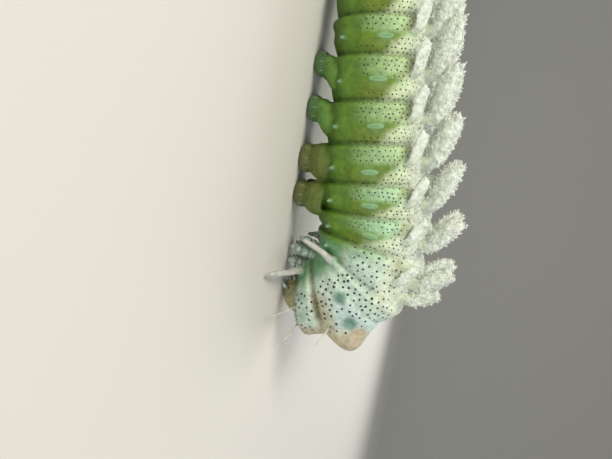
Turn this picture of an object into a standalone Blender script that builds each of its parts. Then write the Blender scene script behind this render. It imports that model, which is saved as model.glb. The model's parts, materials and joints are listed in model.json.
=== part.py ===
# Larva of the atlas moth, full grown, life size, resting with its fore body curled down.
# X runs from the tail to the head, Z is up, and the right flank faces -Y. Lengths are in
# millimetres until the last step, which brings every mesh to metres.
import math
import random

import bmesh
import bpy
from mathutils import Vector

for old in list(bpy.data.objects):
    bpy.data.objects.remove(old, do_unlink=True)

METRES = 0.001
GAP = 0.3
RING_POINTS = 22
RING_STEPS = (0.0, 0.14, 0.34, 0.6, 0.85, 1.0)
# Angle in radians below which two faces count as one flat face
FLAT = 0.004

# The folds between segments, tail to head: middle of the body (x, z), how far the back
# leans towards the head in degrees, half height and half width
FOLDS = (
    (-73.8, 7.4, 6.0, 4.4, 4.6),
    (-65.6, 9.6, -2.0, 8.2, 8.3),
    (-57.6, 11.3, -5.0, 9.5, 9.4),
    (-48.6, 12.7, -6.0, 10.27, 10.2),
    (-40.5, 13.95, -5.0, 10.36, 10.6),
    (-31.1, 15.05, -6.7, 10.68, 10.9),
    (-22.2, 15.9, -8.4, 11.14, 11.1),
    (-13.8, 17.05, -7.0, 11.51, 11.2),
    (-7.0, 18.05, -1.8, 12.0, 11.3),
    (-0.5, 18.5, 8.3, 12.0, 11.2),
    (6.3, 17.7, 31.0, 12.1, 10.8),
    (9.9, 15.9, 43.5, 11.4, 10.3),
    (13.7, 9.4, 69.0, 9.2, 8.9),
    (16.3, 4.5, 83.0, 7.4, 7.0),
)
SEGMENTS = tuple(f"abdomen_{n}" for n in range(10, 0, -1)) + ("thorax_3", "thorax_2", "thorax_1")
# How much each segment swells between its folds, as a share of its radius
SWELL = {"abdomen_10": 0.14, "thorax_3": 0.05, "thorax_2": 0.06, "thorax_1": 0.09}
USUAL_SWELL = 0.07
SWELL_SKEW = 0.62
SECTION_POWER = 0.9

# Rounded lobes on the back of the fore body: segment, place along it, angle from the
# back's middle, height, spread along and spread round
LOBES = (
    ("thorax_2", 0.60, 22.0, 3.9, 0.42, 32.0),
    ("thorax_1", 0.55, 22.0, 1.2, 0.34, 30.0),
)

# Waxed fingers of the back: segment, place along it, angle from the back's middle,
# angle of the finger back from upright, length
BACK_FINGERS = (
    ("abdomen_9", 0.45, 24.0, 66.0, 8.0),
    ("abdomen_7", 0.40, 25.0, 68.0, 13.0),
    ("abdomen_6", 0.40, 25.0, 72.0, 14.4),
    ("abdomen_5", 0.44, 25.0, 71.0, 14.1),
    ("abdomen_4", 0.47, 25.0, 66.0, 13.2),
    ("abdomen_3", 0.55, 25.0, 62.0, 12.6),
    ("abdomen_2", 0.62, 25.0, 45.0, 10.8),
    ("abdomen_1", 0.44, 25.0, 28.0, 9.8),
    ("abdomen_1", 0.74, 24.0, 22.0, 8.2),
)
UPPER_FINGERS = (
    ("abdomen_8", 0.45, 52.0, 70.0, 7.2),
    ("abdomen_7", 0.45, 52.0, 70.0, 8.0),
    ("abdomen_6", 0.45, 52.0, 70.0, 8.4),
    ("abdomen_5", 0.45, 52.0, 70.0, 8.4),
    ("abdomen_4", 0.48, 52.0, 66.0, 8.2),
    ("abdomen_3", 0.52, 52.0, 58.0, 7.6),
    ("abdomen_2", 0.56, 52.0, 48.0, 7.0),
    ("abdomen_1", 0.50, 52.0, 34.0, 6.4),
)
MIDDLE_FINGERS = (("abdomen_8", 0.45, 0.0, 66.0, 12.0),)
# Thickness at the root, share of the length that is flesh, tufts of wax and their length
BACK_WAX = (1.5, 0.66, 6, 3.9)
UPPER_WAX = (1.0, 0.66, 2, 2.2)
# Tufts of wax that stand on the skin between the fingers: angle and place along the segment
LOOSE_TUFTS = ((10.0, 0.72),)
LOOSE_LENGTH = 2.4
LOOSE_THICK = 0.8
TUFT_ROOT = 0.9
TUFT_BEND = 0.12
# Angle between one tuft and the next round a finger, and how far it strays
TUFT_TURN = 137.5
TUFT_STRAY = 15.0
SIDE_SPREAD = 0.16
SEED = 11

# Bare knobs low on the flank
KNOB_SEGMENTS = SEGMENTS[1:10]
KNOB_ANGLE = 128.0
KNOB_PLACE = 0.6
KNOB_LENGTH = 2.2
KNOB_THICK = 0.75

# Long bare fingers on the sides of the fore body: segment, place, angle, reach (x, y, z)
# from the root, thickness at the root
LONG_FINGERS = (
    ("thorax_1", 0.70, 149.0, (-1.1, -15.2, -3.4), 0.75),
    ("thorax_3", 0.40, 118.0, (-4.1, -3.0, -6.6), 0.72),
)

# False legs: segment, foot (x, y), root (x, y), foot radius along and across
PROLEGS = (
    ("abdomen_6", "proleg_6", (-38.0, 4.0), (-36.2, 4.9), 2.35, 2.1),
    ("abdomen_5", "proleg_5", (-28.2, 4.0), (-26.6, 4.9), 2.5, 2.2),
    ("abdomen_4", "proleg_4", (-17.0, 4.0), (-16.8, 4.9), 2.8, 2.3),
    ("abdomen_3", "proleg_3", (-8.8, 4.0), (-8.6, 4.9), 2.6, 2.2),
)
PROLEG_TOP = 8.5
CLASPER_FOOT = (-70.0, 4.0)
CLASPER_ROOT = (-69.2, 5.0)
CLASPER_TOP = 8.0
SOLE = 0.72

# True legs: segment, root, knee and claw (x, y, z), radius at the root
LEGS = (
    ("leg_1", (8.2, 2.6, 6.0), (7.9, 3.0, 2.3), (7.3, 2.3, 0.4), 1.35),
    ("leg_2", (5.2, 2.9, 7.6), (4.4, 3.3, 3.2), (3.9, 2.5, 0.5), 1.35),
    ("leg_3", (3.4, 4.2, 9.0), (1.5, 4.6, 4.9), (1.5, 3.9, 2.9), 1.15),
)

# Head: middle, half length towards the mouth, half width, half depth, and how far the
# mouth points down from straight back
HEAD_AT = (15.9, 0.0, 3.5)
HEAD_LONG = 4.4
HEAD_WIDE = 4.3
HEAD_DEEP = 3.1
HEAD_DIP = 22.0
CROWN_GROOVE = 0.35
LIP_WIDE = 1.4
PALP_WIDE = 0.7


def smooth(values, place):
    """Value at a place along the body, on a smooth curve through one value a fold."""
    k = min(max(int(place), 0), len(values) - 2)
    t = place - k
    b = values[k]
    c = values[k + 1]
    a = values[k - 1] if k else 2.0 * b - c
    d = values[k + 2] if k + 2 < len(values) else 2.0 * c - b
    return b + 0.5 * t * (c - a + t * (2 * a - 5 * b + 4 * c - d + t * (3 * (b - c) + d - a)))


def body_frame(place):
    """Middle, direction of the back, direction of the head, half height, half width."""
    x, z, lean, high, wide = (smooth([fold[i] for fold in FOLDS], place) for i in range(5))
    lean = math.radians(lean)
    back = Vector((math.sin(lean), 0.0, math.cos(lean)))
    ahead = Vector((math.cos(lean), 0.0, -math.sin(lean)))
    return Vector((x, 0.0, z)), back, ahead, high, wide


def power(value):
    return math.copysign(abs(value) ** SECTION_POWER, value)


def lobe_height(segment, t, angle):
    height = 0.0
    for name, at, off, tall, along, around in LOBES:
        if name == segment:
            for side in (-1, 1):
                miss = ((t - at) / along) ** 2 + ((angle - side * off) / around) ** 2
                height += tall * math.exp(-miss * 1.6)
    return height


def skin_point(place, angle, grow=0.0):
    """A point of the skin. The angle runs from the back's middle, positive to the right."""
    k = min(int(place), len(SEGMENTS) - 1)
    t = place - k
    segment = SEGMENTS[k]
    middle, back, ahead, high, wide = body_frame(place)
    c = math.cos(math.radians(angle))
    s = math.sin(math.radians(angle))
    lift = SWELL.get(segment, USUAL_SWELL) * math.sin(math.pi * t ** SWELL_SKEW)
    scale = 1.0 + lift * (0.7 + 0.3 * c)
    out = back * c + Vector((0.0, -s, 0.0))
    lobe = lobe_height(segment, t, angle) + grow
    return middle + back * (power(c) * high * scale) - Vector((0, power(s) * wide * scale, 0)) + out * lobe


def outward(place, angle):
    """Direction straight out of the skin."""
    step = 0.04
    along = skin_point(min(place + step, 12.999), angle) - skin_point(max(place - step, 0.001), angle)
    round_ = skin_point(place, angle + 2.0) - skin_point(place, angle - 2.0)
    out = round_.cross(along).normalized()
    middle = body_frame(place)[0]
    return out if out.dot(skin_point(place, angle) - middle) > 0 else -out


def mesh_object(name, build):
    mesh = bpy.data.meshes.new(name)
    bm = bmesh.new()
    build(bm)
    bmesh.ops.recalc_face_normals(bm, faces=bm.faces)
    bm.to_mesh(mesh)
    bm.free()
    thing = bpy.data.objects.new(name, mesh)
    collection.objects.link(thing)
    return thing


def skin_rings(bm, rings):
    """Closed surface over rings of points, the first and last closed by a flat face."""
    rows = [[bm.verts.new(point) for point in ring] for ring in rings]
    count = len(rows[0])
    for low, high in zip(rows, rows[1:]):
        for i in range(count):
            j = (i + 1) % count
            bm.faces.new((low[i], low[j], high[j], high[i]))
    bm.faces.new(list(reversed(rows[0])))
    bm.faces.new(rows[-1])
    bmesh.ops.triangulate(bm, faces=[face for face in bm.faces if len(face.verts) > 3])


def body_ring(place, shift=0.0, grow=0.0, shrink=1.0):
    middle, back, ahead, high, wide = body_frame(place)
    ring = []
    for i in range(RING_POINTS):
        point = skin_point(place, 360.0 * i / RING_POINTS - 180.0, grow)
        ring.append(middle + (point - middle) * shrink + ahead * shift)
    return ring


def segment_rings(k):
    """Rings of one segment, which stops half a gap short of the fold at each end."""
    rings = []
    if k == 0:
        rings.append(body_ring(0.0, shift=-1.0, shrink=0.55))
    for t in RING_STEPS:
        shift = 0.0
        if t == 0.0 and k > 0:
            shift = GAP / 2
        if t == 1.0 and k < len(SEGMENTS) - 1:
            shift = -GAP / 2
        place = k + min(t, 0.9999)
        rings.append(body_ring(place, shift))
    if k == len(SEGMENTS) - 1:
        rings.append(body_ring(k + 0.9999, shift=0.8, shrink=0.88))
    return rings


def body_cutter(first, last):
    """The body between two places, larger by the gap, for cutting what grows from it."""
    steps = 6 * (last - first)
    places = [min(first + i / 6, last - 0.0001) for i in range(steps + 1)]
    rings = [body_ring(place, grow=GAP) for place in places]
    cutter = mesh_object("cutter", lambda bm: skin_rings(bm, rings))
    cutter.hide_render = True
    cutter.display_type = "WIRE"
    return cutter


def finger(path, radii, resolution=0):
    """A tapered finger along a path, from a curve of round section."""
    curve = bpy.data.curves.new("finger", "CURVE")
    curve.dimensions = "3D"
    curve.bevel_depth = 1.0
    curve.bevel_resolution = resolution
    curve.use_fill_caps = True
    spline = curve.splines.new("POLY")
    spline.points.add(len(path) - 1)
    for point, at, radius in zip(spline.points, path, radii):
        point.co = (*at, 1.0)
        point.radius = radius
    raw = bpy.data.objects.new("finger", curve)
    collection.objects.link(raw)
    depsgraph = bpy.context.evaluated_depsgraph_get()
    mesh = bpy.data.meshes.new_from_object(raw.evaluated_get(depsgraph))
    bpy.data.objects.remove(raw, do_unlink=True)
    bm = bmesh.new()
    bm.from_mesh(mesh)
    bmesh.ops.remove_doubles(bm, verts=bm.verts, dist=0.0001)
    bmesh.ops.recalc_face_normals(bm, faces=bm.faces)
    bm.to_mesh(mesh)
    bm.free()
    thing = bpy.data.objects.new("finger", mesh)
    collection.objects.link(thing)
    return thing


def largest_surface(mesh):
    """Keeps the largest closed surface of a mesh."""
    bm = bmesh.new()
    bm.from_mesh(mesh)
    bmesh.ops.remove_doubles(bm, verts=bm.verts, dist=0.0005)
    left = set(bm.faces)
    shells = []
    while left:
        shell = [left.pop()]
        queue = list(shell)
        while queue:
            for edge in queue.pop().edges:
                for face in edge.link_faces:
                    if face in left:
                        left.remove(face)
                        shell.append(face)
                        queue.append(face)
        shells.append(shell)
    shells.sort(key=len)
    for shell in shells[:-1]:
        bmesh.ops.delete(bm, geom=shell, context="FACES")
    bmesh.ops.dissolve_limit(bm, angle_limit=FLAT, verts=bm.verts, edges=bm.edges, delimit=set())
    bmesh.ops.triangulate(bm, faces=bm.faces)
    bm.to_mesh(mesh)
    bm.free()


def combine(thing, others, operation):
    """Joins the other objects to a thing, or cuts them from it, and removes them."""
    group = bpy.data.collections.new("operands")
    bpy.context.scene.collection.children.link(group)
    for other in others:
        collection.objects.unlink(other)
        group.objects.link(other)
    modifier = thing.modifiers.new("combine", "BOOLEAN")
    modifier.operation = operation
    modifier.operand_type = "COLLECTION"
    modifier.collection = group
    modifier.solver = "EXACT"
    bpy.context.view_layer.update()
    depsgraph = bpy.context.evaluated_depsgraph_get()
    mesh = bpy.data.meshes.new_from_object(thing.evaluated_get(depsgraph))
    thing.modifiers.clear()
    thing.data = mesh
    largest_surface(mesh)
    for other in others:
        bpy.data.objects.remove(other, do_unlink=True)
    bpy.data.collections.remove(group)
    return thing


def material(name, red, green, blue, roughness):
    finish = bpy.data.materials.new(name)
    finish.use_nodes = True
    shader = finish.node_tree.nodes["Principled BSDF"]
    shader.inputs["Base Color"].default_value = (red, green, blue, 1.0)
    shader.inputs["Roughness"].default_value = roughness
    shader.inputs["Metallic"].default_value = 0.0
    finish.diffuse_color = (red, green, blue, 1.0)
    return finish


def tuft(root, aim, length, thick):
    """A tapered tuft of wax, bent a little towards the tail."""
    bend = Vector((-TUFT_BEND * length, 0.0, 0.0))
    path = (root, root + aim * 0.55 * length, root + aim * length + bend)
    return finger(path, (thick, thick * 0.85, thick * 0.3))


def waxed_finger(row, side, wax_form):
    """A fleshy finger of the back, leaning to the tail, with tufts of wax round it."""
    segment, t, angle, back_lean, length = row
    thick, flesh, tufts, reach = wax_form
    place = SEGMENTS.index(segment) + t
    out = outward(place, side * angle)
    root = skin_point(place, side * angle)
    lean = math.radians(back_lean)
    aim = Vector((-math.sin(lean), -side * SIDE_SPREAD, math.cos(lean))).normalized()
    bend = root + (out + aim) * length * 0.12
    end = root + aim * length * flesh
    path = (root - out * thick, bend, bend.lerp(end, 0.55), end)
    pieces = [finger(path, (thick, thick * 0.9, thick * 0.75, thick * 0.45), 1)]
    pieces.append(tuft(end - aim * thick * 0.5, aim, length * (1.0 - flesh) + thick * 0.5, thick * 0.5))
    across = aim.cross(Vector((0, 1, 0))).normalized()
    beside = aim.cross(across)
    for i in range(tufts):
        share = 0.1 + 0.8 * i / (tufts - 1)
        turn = math.radians(TUFT_TURN * i + random.uniform(-TUFT_STRAY, TUFT_STRAY))
        spoke = across * math.cos(turn) + beside * math.sin(turn)
        forward = (spoke + aim * (0.6 + 0.9 * share) + out * 0.3).normalized()
        stretch = reach * (0.7 + 0.3 * spoke.dot(out)) * random.uniform(0.9, 1.1)
        pieces.append(tuft(bend.lerp(end, share) + spoke * thick * 0.2, forward, stretch, thick * 0.5))
    return pieces


def loose_tufts(segment, side):
    """Tufts of wax that stand on the back between the fingers."""
    pieces = []
    for angle, t in LOOSE_TUFTS:
        place = SEGMENTS.index(segment) + t
        aim = (outward(place, side * angle) + Vector((-0.7, 0, 0))).normalized()
        root = skin_point(place, side * angle) - aim * TUFT_ROOT
        length = LOOSE_LENGTH * random.uniform(0.85, 1.15) + TUFT_ROOT
        pieces.append(tuft(root, aim, length, LOOSE_THICK))
    return pieces


def knob(segment, side):
    place = SEGMENTS.index(segment) + KNOB_PLACE
    out = outward(place, side * KNOB_ANGLE)
    root = skin_point(place, side * KNOB_ANGLE)
    path = (root - out * 0.8, root + out * 0.5 * KNOB_LENGTH, root + out * KNOB_LENGTH)
    return finger(path, (KNOB_THICK, KNOB_THICK * 0.8, 0.35))


def long_finger(row, side):
    segment, t, angle, reach, thick = row
    place = SEGMENTS.index(segment) + t
    root = skin_point(place, side * angle)
    out = outward(place, side * angle)
    reach = Vector((reach[0], side * reach[1], reach[2]))
    path = [root - out * 1.2]
    for share, arch in ((0.12, 0.4), (0.45, 0.9), (0.8, 0.6), (1.0, 0.0)):
        path.append(root + reach * share + Vector((0, 0, arch)))
    return finger(path, (thick, thick, thick * 0.75, thick * 0.72, thick * 0.4), 1)


def make_segments():
    made = []
    for k, name in enumerate(SEGMENTS):
        rings = segment_rings(k)
        body = mesh_object(name, lambda bm: skin_rings(bm, rings))
        grown = []
        for side in (-1, 1):
            for rows, wax_form in ((BACK_FINGERS, BACK_WAX), (UPPER_FINGERS, UPPER_WAX)):
                for row in rows:
                    if row[0] == name:
                        grown += waxed_finger(row, side, wax_form)
            grown += [long_finger(row, side) for row in LONG_FINGERS if row[0] == name]
            if name in KNOB_SEGMENTS:
                grown.append(knob(name, side))
                grown += loose_tufts(name, side)
        for row in MIDDLE_FINGERS:
            if row[0] == name:
                grown += waxed_finger(row, 0, BACK_WAX)
        if grown:
            combine(body, grown, "UNION")
        body.data.materials.append(wax if name in WAXED else skin)
        made.append(body)
    return made


def oval(at, along, across, height, count=12):
    ring = []
    for i in range(count):
        a = 2 * math.pi * i / count
        ring.append(Vector((at[0] + along * math.cos(a), at[1] + across * math.sin(a), height)))
    return ring


def blend(a, b, share):
    return [p + (q - p) * share for p, q in zip(a, b)]


def stump(name, foot, root, along, across, top, side, span):
    """A fleshy false leg: sole, rounded foot, ring fold, and root cut to fit the body."""
    foot = (foot[0], -side * foot[1])
    root = (root[0], -side * root[1])
    rings = [
        oval(foot, along * SOLE, across * SOLE, 0.0),
        oval(foot, along * 0.96, across * 0.96, 0.7),
        oval(blend([foot[0]], [root[0]], 0.15) + [foot[1]], along, across, 1.7),
        oval(blend([foot[0]], [root[0]], 0.4) + [foot[1]], along * 0.94, across * 0.96, 2.6),
        oval(blend([foot[0]], [root[0]], 0.7) + [root[1]], along * 1.18, across * 1.25, 3.3),
        oval(root, along * 1.3, across * 1.4, 4.6),
        oval(root, along * 1.3, across * 1.4, top),
    ]
    leg = mesh_object(name, lambda bm: skin_rings(bm, rings))
    combine(leg, [body_cutter(*span)], "DIFFERENCE")
    leg.data.materials.append(skin)
    return leg


def make_prolegs():
    made = []
    for side, hand in ((1, "right"), (-1, "left")):
        for segment, name, foot, root, along, across in PROLEGS:
            k = SEGMENTS.index(segment)
            made.append(stump(f"{name}_{hand}", foot, root, along, across, PROLEG_TOP, side, (k - 1, k + 2)))
        made.append(stump(f"clasper_{hand}", CLASPER_FOOT, CLASPER_ROOT, 2.6, 2.0, CLASPER_TOP, side, (0, 2)))
    return made


def make_legs():
    made = []
    for side, hand in ((1, "right"), (-1, "left")):
        for name, root, knee, claw, thick in LEGS:
            points = [Vector((x, -side * y, z)) for x, y, z in (root, knee, claw)]
            path = [points[0], points[0].lerp(points[1], 0.6), points[1], points[1].lerp(points[2], 0.55), points[2]]
            leg = finger(path, (thick, thick, thick * 0.85, thick * 0.6, 0.25), 2)
            leg.name = f"{name}_{hand}"
            combine(leg, [body_cutter(9, 13)], "DIFFERENCE")
            leg.data.materials.append(horn)
            made.append(leg)
    return made


def head_shape(grow):
    """Builder of the head capsule: two rounded cheeks with a groove over the crown."""
    dip = math.radians(HEAD_DIP)
    mouth = Vector((-math.cos(dip), 0.0, -math.sin(dip)))
    face = Vector((math.sin(dip), 0.0, -math.cos(dip)))

    def build(bm):
        bmesh.ops.create_uvsphere(bm, u_segments=16, v_segments=10, radius=1.0)
        for vert in bm.verts:
            x, y, z = vert.co
            groove = CROWN_GROOVE * math.exp(-((y / 0.22) ** 2)) * (1.0 - max(0.0, z)) if grow == 0 else 0.0
            narrow = 1.0 - 0.18 * max(0.0, z)
            side = y * (HEAD_WIDE + grow) * narrow
            deep = x * (HEAD_DEEP + grow - groove) * narrow
            vert.co = Vector(HEAD_AT) + mouth * z * (HEAD_LONG + grow) + Vector((0, side, 0)) + face * deep

    return build, mouth, face


def make_jaws(mouth, face, grow):
    """The lips and the two palps at the mouth end of the head."""
    lip = Vector(HEAD_AT) + mouth * (HEAD_LONG - 0.7)
    widths = (LIP_WIDE + grow, LIP_WIDE * 0.85 + grow, LIP_WIDE * 0.5 + grow)
    jaws = [finger((lip - mouth, lip + mouth * 0.6, lip + mouth * (1.15 + grow)), widths, 1)]
    for side in (-1, 1):
        root = lip + Vector((0, side * LIP_WIDE, 0)) - mouth * 0.8
        path = (root, root + mouth * 1.6 - face * 0.2, root + mouth * (2.3 + grow))
        jaws.append(finger(path, (PALP_WIDE + grow, PALP_WIDE * 0.8 + grow, PALP_WIDE * 0.4 + grow)))
    return jaws


def make_head():
    build, mouth, face = head_shape(0.0)
    head = mesh_object("head", build)
    combine(head, make_jaws(mouth, face, 0.0), "UNION")
    head.data.materials.append(horn)
    made = [head]
    for side, hand in ((1, "right"), (-1, "left")):
        root = Vector(HEAD_AT) + mouth * 2.9 + face * 1.75 + Vector((0, -side * 2.75, 0))
        aim = (mouth * 0.7 + Vector((0, -side * 0.7, 0))).normalized()
        path = (root, root + aim * 0.8, root + aim * 1.6)
        feeler = finger(path, (0.42, 0.36, 0.25), 1)
        feeler.name = f"antenna_{hand}"
        feeler.data.materials.append(horn)
        made.append(feeler)
    return made


def stand_at_origin(things):
    """Puts the middle of the floor under the larva at the origin and changes to metres."""
    low = min(vert.co.x for thing in things for vert in thing.data.vertices)
    high = max(vert.co.x for thing in things for vert in thing.data.vertices)
    print(f"middle of the larva at x = {(low + high) / 2:.3f} mm")
    for thing in things:
        for vert in thing.data.vertices:
            vert.co = (vert.co - Vector(((low + high) / 2, 0.0, 0.0))) * METRES
        for polygon in thing.data.polygons:
            polygon.use_smooth = True


collection = bpy.data.collections.new("atlas_moth_larva")
bpy.context.scene.collection.children.link(collection)
skin = material("green skin", 0.30, 0.42, 0.14, 0.55)
wax = material("white wax", 0.72, 0.74, 0.66, 0.9)
horn = material("tan horn", 0.34, 0.30, 0.20, 0.4)
WAXED = SEGMENTS[1:10]

random.seed(SEED)
larva = make_segments()
larva += make_prolegs()
larva += make_legs()
larva += make_head()
socket_build, towards_mouth, towards_face = head_shape(GAP)
socket = [mesh_object("socket", socket_build)] + make_jaws(towards_mouth, towards_face, GAP)
combine(bpy.data.objects["thorax_1"], socket, "DIFFERENCE")
stand_at_origin(larva)
print("triangles", sum(len(thing.data.polygons) for thing in larva))
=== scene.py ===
# Full-grown larva of the atlas moth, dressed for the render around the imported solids.
# Shapes are worked out in millimetres, in the part's own layout, with X towards the head,
# Z up and the right flank towards -Y. toMetres() moves a finished piece into the frame.
import json
import math

import bmesh
import bpy
import numpy as np
from mathutils import Matrix, Vector, kdtree, noise
from mathutils.bvhtree import BVHTree

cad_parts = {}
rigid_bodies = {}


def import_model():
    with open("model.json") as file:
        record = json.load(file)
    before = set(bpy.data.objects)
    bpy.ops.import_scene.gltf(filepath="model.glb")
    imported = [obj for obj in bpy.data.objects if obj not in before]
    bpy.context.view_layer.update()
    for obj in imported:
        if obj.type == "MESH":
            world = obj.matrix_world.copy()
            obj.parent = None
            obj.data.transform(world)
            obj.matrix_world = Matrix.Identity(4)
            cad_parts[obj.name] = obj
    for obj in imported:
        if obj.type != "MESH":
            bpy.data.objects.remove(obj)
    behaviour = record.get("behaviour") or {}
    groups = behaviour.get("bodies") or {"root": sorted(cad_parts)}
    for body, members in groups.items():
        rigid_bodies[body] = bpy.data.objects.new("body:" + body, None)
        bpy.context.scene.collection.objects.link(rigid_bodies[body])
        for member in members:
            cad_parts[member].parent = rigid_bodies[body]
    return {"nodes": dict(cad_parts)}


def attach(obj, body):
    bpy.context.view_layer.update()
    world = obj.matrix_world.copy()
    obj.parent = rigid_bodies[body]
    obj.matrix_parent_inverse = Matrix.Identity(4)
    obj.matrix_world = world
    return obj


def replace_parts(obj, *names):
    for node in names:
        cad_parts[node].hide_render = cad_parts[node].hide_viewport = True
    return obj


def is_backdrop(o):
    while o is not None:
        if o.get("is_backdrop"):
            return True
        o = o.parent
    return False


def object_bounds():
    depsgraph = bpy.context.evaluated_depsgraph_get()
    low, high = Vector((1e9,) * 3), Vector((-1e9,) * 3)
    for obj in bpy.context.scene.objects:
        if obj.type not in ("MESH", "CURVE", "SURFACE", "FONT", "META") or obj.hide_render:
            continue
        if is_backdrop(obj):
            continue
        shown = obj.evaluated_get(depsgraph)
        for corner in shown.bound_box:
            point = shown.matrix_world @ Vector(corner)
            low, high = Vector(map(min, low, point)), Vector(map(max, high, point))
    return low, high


for old in list(bpy.data.objects):
    bpy.data.objects.remove(old, do_unlink=True)
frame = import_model()
cadLow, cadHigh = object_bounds()
print("frame loaded:", len(frame["nodes"]), "solids")

seed = 23
chance = np.random.default_rng(seed)
layoutMiddle = -25.156  # where the frame's origin lies along the layout's X, mm

# middle x, middle z, lean of the back in degrees, half height, half width at each fold
bodyFolds = np.array([
    (-73.8, 7.4, 6.0, 4.4, 4.6),
    (-65.6, 9.6, -2.0, 8.2, 8.3),
    (-57.6, 11.3, -5.0, 9.5, 9.4),
    (-48.6, 12.7, -6.0, 10.27, 10.2),
    (-40.5, 13.95, -5.0, 10.36, 10.6),
    (-31.1, 15.05, -6.7, 10.68, 10.9),
    (-22.2, 15.9, -8.4, 11.14, 11.1),
    (-13.8, 17.05, -7.0, 11.51, 11.2),
    (-7.0, 18.05, -1.8, 12.0, 11.3),
    (-0.5, 18.5, 8.3, 12.0, 11.2),
    (6.3, 17.7, 31.0, 12.1, 10.8),
    (9.9, 15.9, 43.5, 11.4, 10.3),
    (13.7, 9.4, 69.0, 9.2, 8.9),
    (16.3, 4.5, 83.0, 7.4, 7.0),
])
segments = [f"abdomen_{n}" for n in range(10, 0, -1)] + ["thorax_3", "thorax_2", "thorax_1"]
lastPlace = len(segments)
foldsPadded = np.vstack((2 * bodyFolds[0] - bodyFolds[1], bodyFolds, 2 * bodyFolds[-1] - bodyFolds[-2]))

body = {
    "swell": np.array([0.14] + [0.07] * 9 + [0.05, 0.06, 0.09]),
    "swellSkew": 0.62,
    "sectionPower": 0.9,
    "lipHeight": 0.34,
    "lipWidth": 0.95,
    "creaseDepth": 1.0,
    "creaseTail": 0.32,  # width of the crease on the lip's side, mm
    "creaseHead": 0.7,
    "furrowDepth": 0.3,
    "furrowAngle": 113.0,
    "ridgeAngle": 128.0,
    "ridgeHeight": 0.4,
    "stepsAlong": 26,
    "stepsRound": 180,
    "voxel": 0.3,
    "kept": 0.6,  # share of the melted surface's triangles, which brings the skin under 200,000
    "mapHeight": 0.78,  # the skin's share of the map, below the wax of the fingers
}
# segment, place along it, angle from the back's middle, height, spread along, spread round
lobes = (
    (11, 0.63, 21.0, 4.5, 0.39, 31.0),
    (12, 0.62, 22.0, 0.9, 0.32, 30.0),
)
# place, angle, radius in mm and strength of the round green spots
greenSpots = (
    (11.20, 86.0, 1.55, 1.0),
    (11.36, 53.0, 1.75, 1.0),
    (12.66, 98.0, 1.3, 0.45),
    (12.62, 68.0, 1.2, 0.6),
    (9.42, 96.0, 1.2, 0.5),
)


# Shape of the body

def smoothStep(low, high, value):
    t = np.clip((value - low) / (high - low), 0, 1)
    return t * t * (3 - 2 * t)


def bump(value, middle, width):
    return np.exp(-(((value - middle) / width) ** 2))


def bodyFrame(place):
    place = np.asarray(place, float)
    k = np.clip(place.astype(int), 0, lastPlace - 1)
    t = (place - k)[..., None]
    a, b, c, d = (foldsPadded[k + i] for i in range(4))
    row = b + 0.5 * t * (c - a + t * (2 * a - 5 * b + 4 * c - d + t * (3 * (b - c) + d - a)))
    x, z, lean, high, wide = np.moveaxis(row, -1, 0)
    lean = np.radians(lean)
    flat = np.zeros_like(x)
    middle = np.stack((x, flat, z), -1)
    back = np.stack((np.sin(lean), flat, np.cos(lean)), -1)
    ahead = np.stack((np.cos(lean), flat, -np.sin(lean)), -1)
    return middle, back, ahead, high, wide


def smoothPoint(place, angle, grow=0.0):
    # the solids' own surface
    place, angle = np.broadcast_arrays(np.asarray(place, float), np.asarray(angle, float))
    k = np.clip(place.astype(int), 0, lastPlace - 1)
    t = np.clip(place - k, 0.0, 1.0)
    middle, back, ahead, high, wide = bodyFrame(place)
    c = np.cos(np.radians(angle))
    s = np.sin(np.radians(angle))
    scale = 1.0 + body["swell"][k] * np.sin(np.pi * t ** body["swellSkew"]) * (0.7 + 0.3 * c)
    height = np.zeros_like(c) + grow
    for segment, at, off, tall, along, around in lobes:
        for side in (-1, 1):
            miss = ((t - at) / along) ** 2 + ((angle - side * off) / around) ** 2
            height = height + (k == segment) * tall * np.exp(-miss * 1.6)
    up = np.sign(c) * np.abs(c) ** body["sectionPower"] * high * scale + c * height
    aside = np.sign(s) * np.abs(s) ** body["sectionPower"] * wide * scale + s * height
    return middle + back * up[..., None] + np.stack((0 * up, -aside, 0 * up), -1)


def foldShare(fold, off):
    # folds behind the head fade out over the back, and the one between the two big lobes is faint
    share = np.where(fold == 10, smoothStep(50, 74, off), 1.0)
    share = np.where(fold == 11, 0.3 * smoothStep(26, 40, off) * smoothStep(86, 66, off) + 0.06, share)
    return np.where(fold == 12, smoothStep(22, 60, off), share)


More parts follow.
